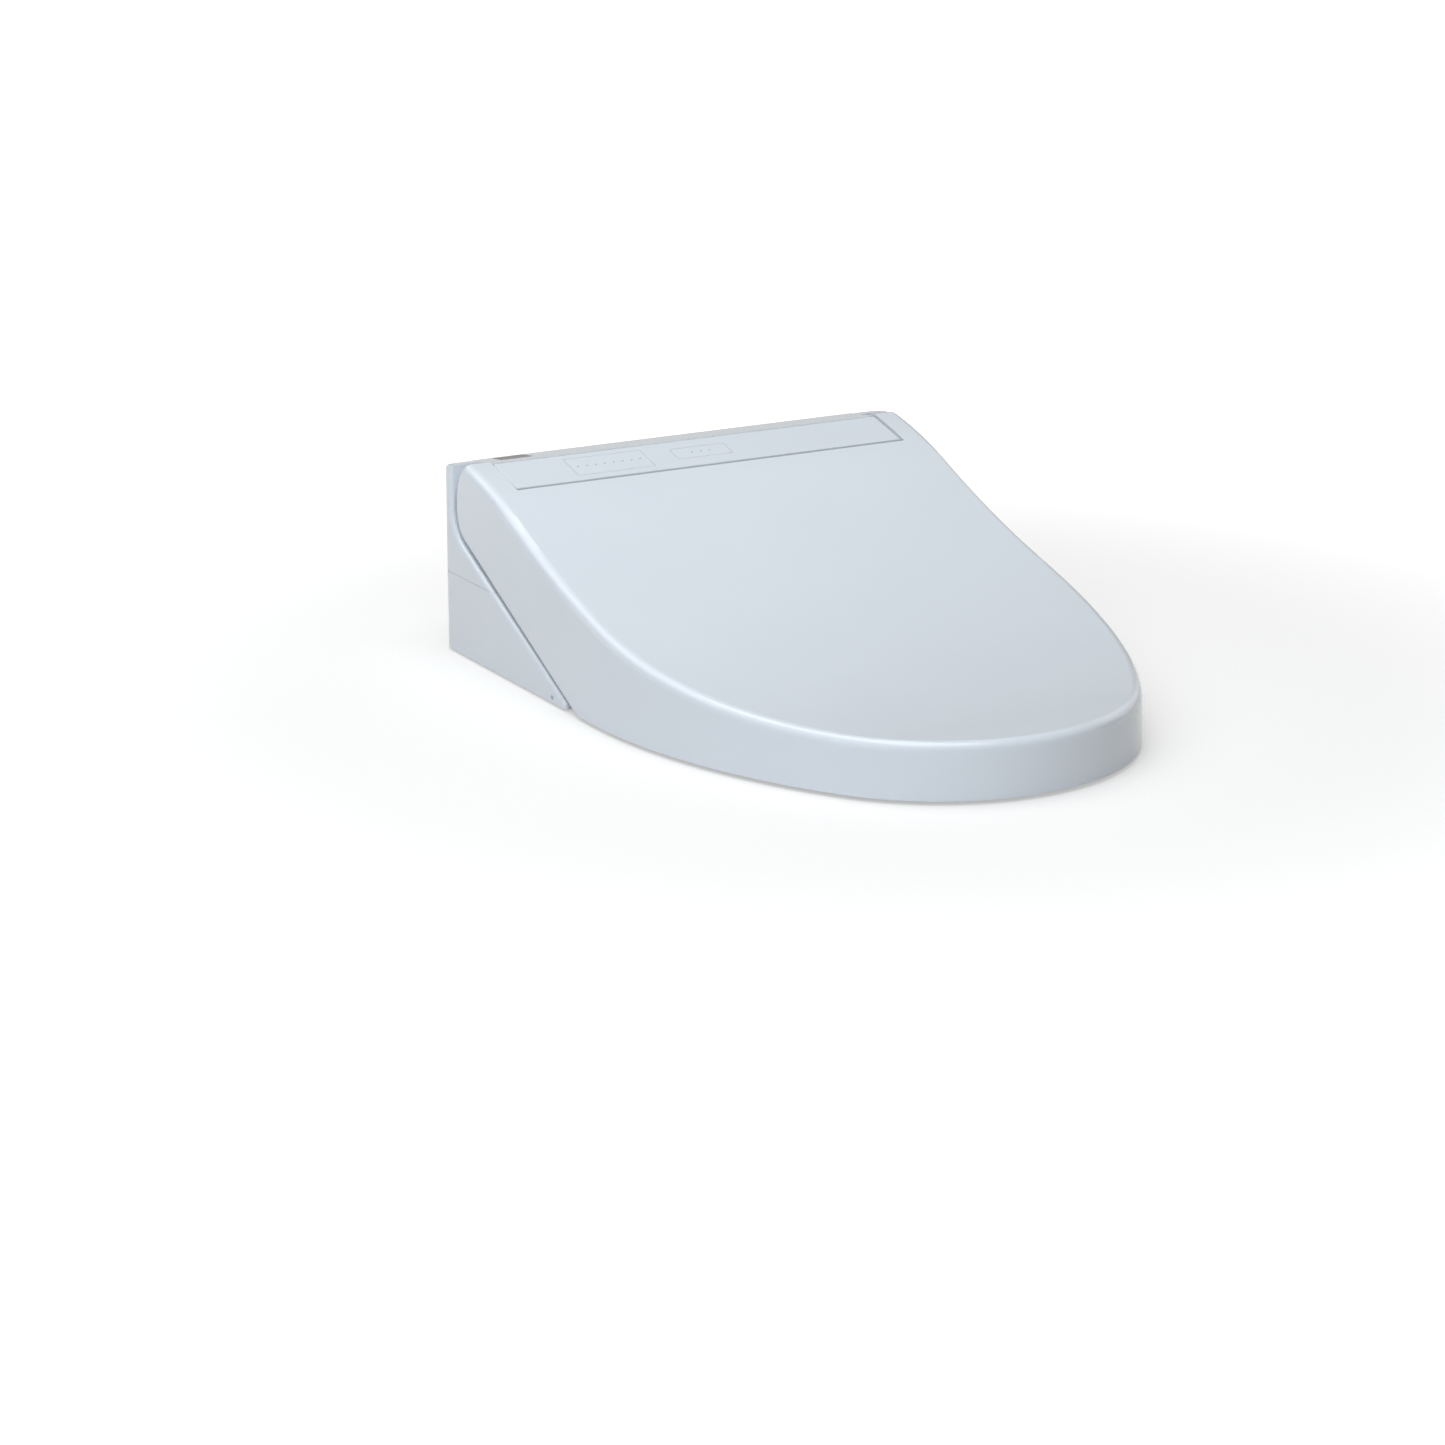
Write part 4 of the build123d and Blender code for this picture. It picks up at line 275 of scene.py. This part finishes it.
# Tank, valve and power supply are natural polyphenylene: buff grey, flow streaks, matt
moulded(
    ["water_tank", "inlet_valve", "power_supply"],
    "polyphenylene_moulded_buff", "#9E9D98", "#8C8B86",
    roughness=0.50, spread=0.07, grain_mm=2.2, depth_mm=0.04, ior=1.6,
)

# The dryer's heating grid is stamped mica: amber brown, flaky layers
moulded(
    ["dryer_heater"],
    "mica_stamped_amber", "#A98E62", "#7F6844",
    roughness=0.34, spread=0.1, grain_mm=1.8, depth_mm=0.06, ior=1.58,
)

# The inlet is turned brass: rings around its axis along Y
drawn(
    ["water_inlet"],
    "brass_turned", "#C49B56", "#A98243",
    roughness=0.28, stretch=(0.06, 1.0, 0.06), line_mm=0.35, depth_mm=0.012,
)

# The control board is glass epoxy under green solder mask
moulded(
    ["control_board"],
    "epoxy_glass_green", "#1F5A3A", "#174A2F",
    roughness=0.34, spread=0.06, grain_mm=0.8, depth_mm=0.02, ior=1.55,
)

# Floor
floor_mesh = bpy.data.meshes.new("paper_floor")
ring = ((-1, -1), (1, -1), (1, 1), (-1, 1))
floor_mesh.from_pydata([(x * FLOOR_REACH, y * FLOOR_REACH, FLOOR_Z) for x, y in ring], [], [(0, 1, 2, 3)])
floor = bpy.data.objects.new("paper_floor", floor_mesh)
bpy.context.scene.collection.objects.link(floor)

# Its matt paper, which the camera and mirror-like surfaces see lifted to white, with the shadow kept
paper_look = {"Roughness": 0.9, "IOR": 1.3, "Emission Color": linear("#FFFFFF")}
paper, paper_tree, paper_shader, paper_place = surface("paper_matt", paper_look)
fibre = {"Vector": paper_place, "Scale": 1 / (PAPER_FIBRE * MM), "Detail": 4.0}
fleck = add_node(paper_tree, "ShaderNodeTexNoise", fibre).outputs[0]
ends = {0: fleck, 6: linear("#C5C3C0"), 7: linear("#C1BFBC")}
paper_tint = add_node(paper_tree, "ShaderNodeMix", ends, data_type="RGBA").outputs[2]
paper_tree.links.new(paper_tint, paper_shader.inputs["Base Color"])
rays = add_node(paper_tree, "ShaderNodeLightPath").outputs
seen = rays["Is Camera Ray"]
for ray in ("Is Glossy Ray", "Is Transmission Ray"):
    either = {0: seen, 1: rays[ray]}
    seen = add_node(paper_tree, "ShaderNodeMath", either, operation="MAXIMUM").outputs[0]
reach = {0: paper_place, 1: SHADOW_CENTRE}
away = add_node(paper_tree, "ShaderNodeVectorMath", reach, operation="DISTANCE").outputs["Value"]
limits = {
    "Value": away,
    "From Min": SHADOW_NEAR, "From Max": SHADOW_FAR,
    "To Min": LIFT_NEAR, "To Max": LIFT_FAR,
}
rise = add_node(paper_tree, "ShaderNodeMapRange", limits, interpolation_type="SMOOTHSTEP")
lifted = {0: seen, 1: rise.outputs["Result"]}
lift = add_node(paper_tree, "ShaderNodeMath", lifted, operation="MULTIPLY").outputs[0]
paper_tree.links.new(lift, paper_shader.inputs["Emission Strength"])
floor_mesh.materials.append(paper)

# Lamps
for light_name, (where, target, (width, height), watts, colour) in LIGHTS.items():
    light = bpy.data.lights.new(light_name, "AREA")
    light.shape = "RECTANGLE"
    light.size = width
    light.size_y = height
    light.energy = watts
    light.color = linear(colour)[:3]
    lamp = bpy.data.objects.new(light_name, light)
    lamp.location = where
    lamp.rotation_euler = (Vector(target) - Vector(where)).to_track_quat("-Z", "Y").to_euler()
    lamp.visible_glossy = light_name != UNMIRRORED
    bpy.context.scene.collection.objects.link(lamp)

# Surround
world = bpy.data.worlds.new("pale_surround")
world.use_nodes = True
sky = world.node_tree.nodes["Background"].inputs
sky["Color"].default_value = linear(SURROUND_COLOUR)
sky["Strength"].default_value = SURROUND_STRENGTH
bpy.context.scene.world = world

# Camera
lens = bpy.data.cameras.new("photo_view")
lens.lens = CAMERA_LENS
lens.sensor_width = CAMERA_SENSOR
camera = bpy.data.objects.new("photo_view", lens)
camera.location = CAMERA_AT
camera.rotation_euler = (radians(90 - CAMERA_ELEVATION), 0, radians(CAMERA_AZIMUTH))
bpy.context.scene.collection.objects.link(camera)
bpy.context.scene.camera = camera
bpy.context.scene.view_settings.view_transform = "Standard"
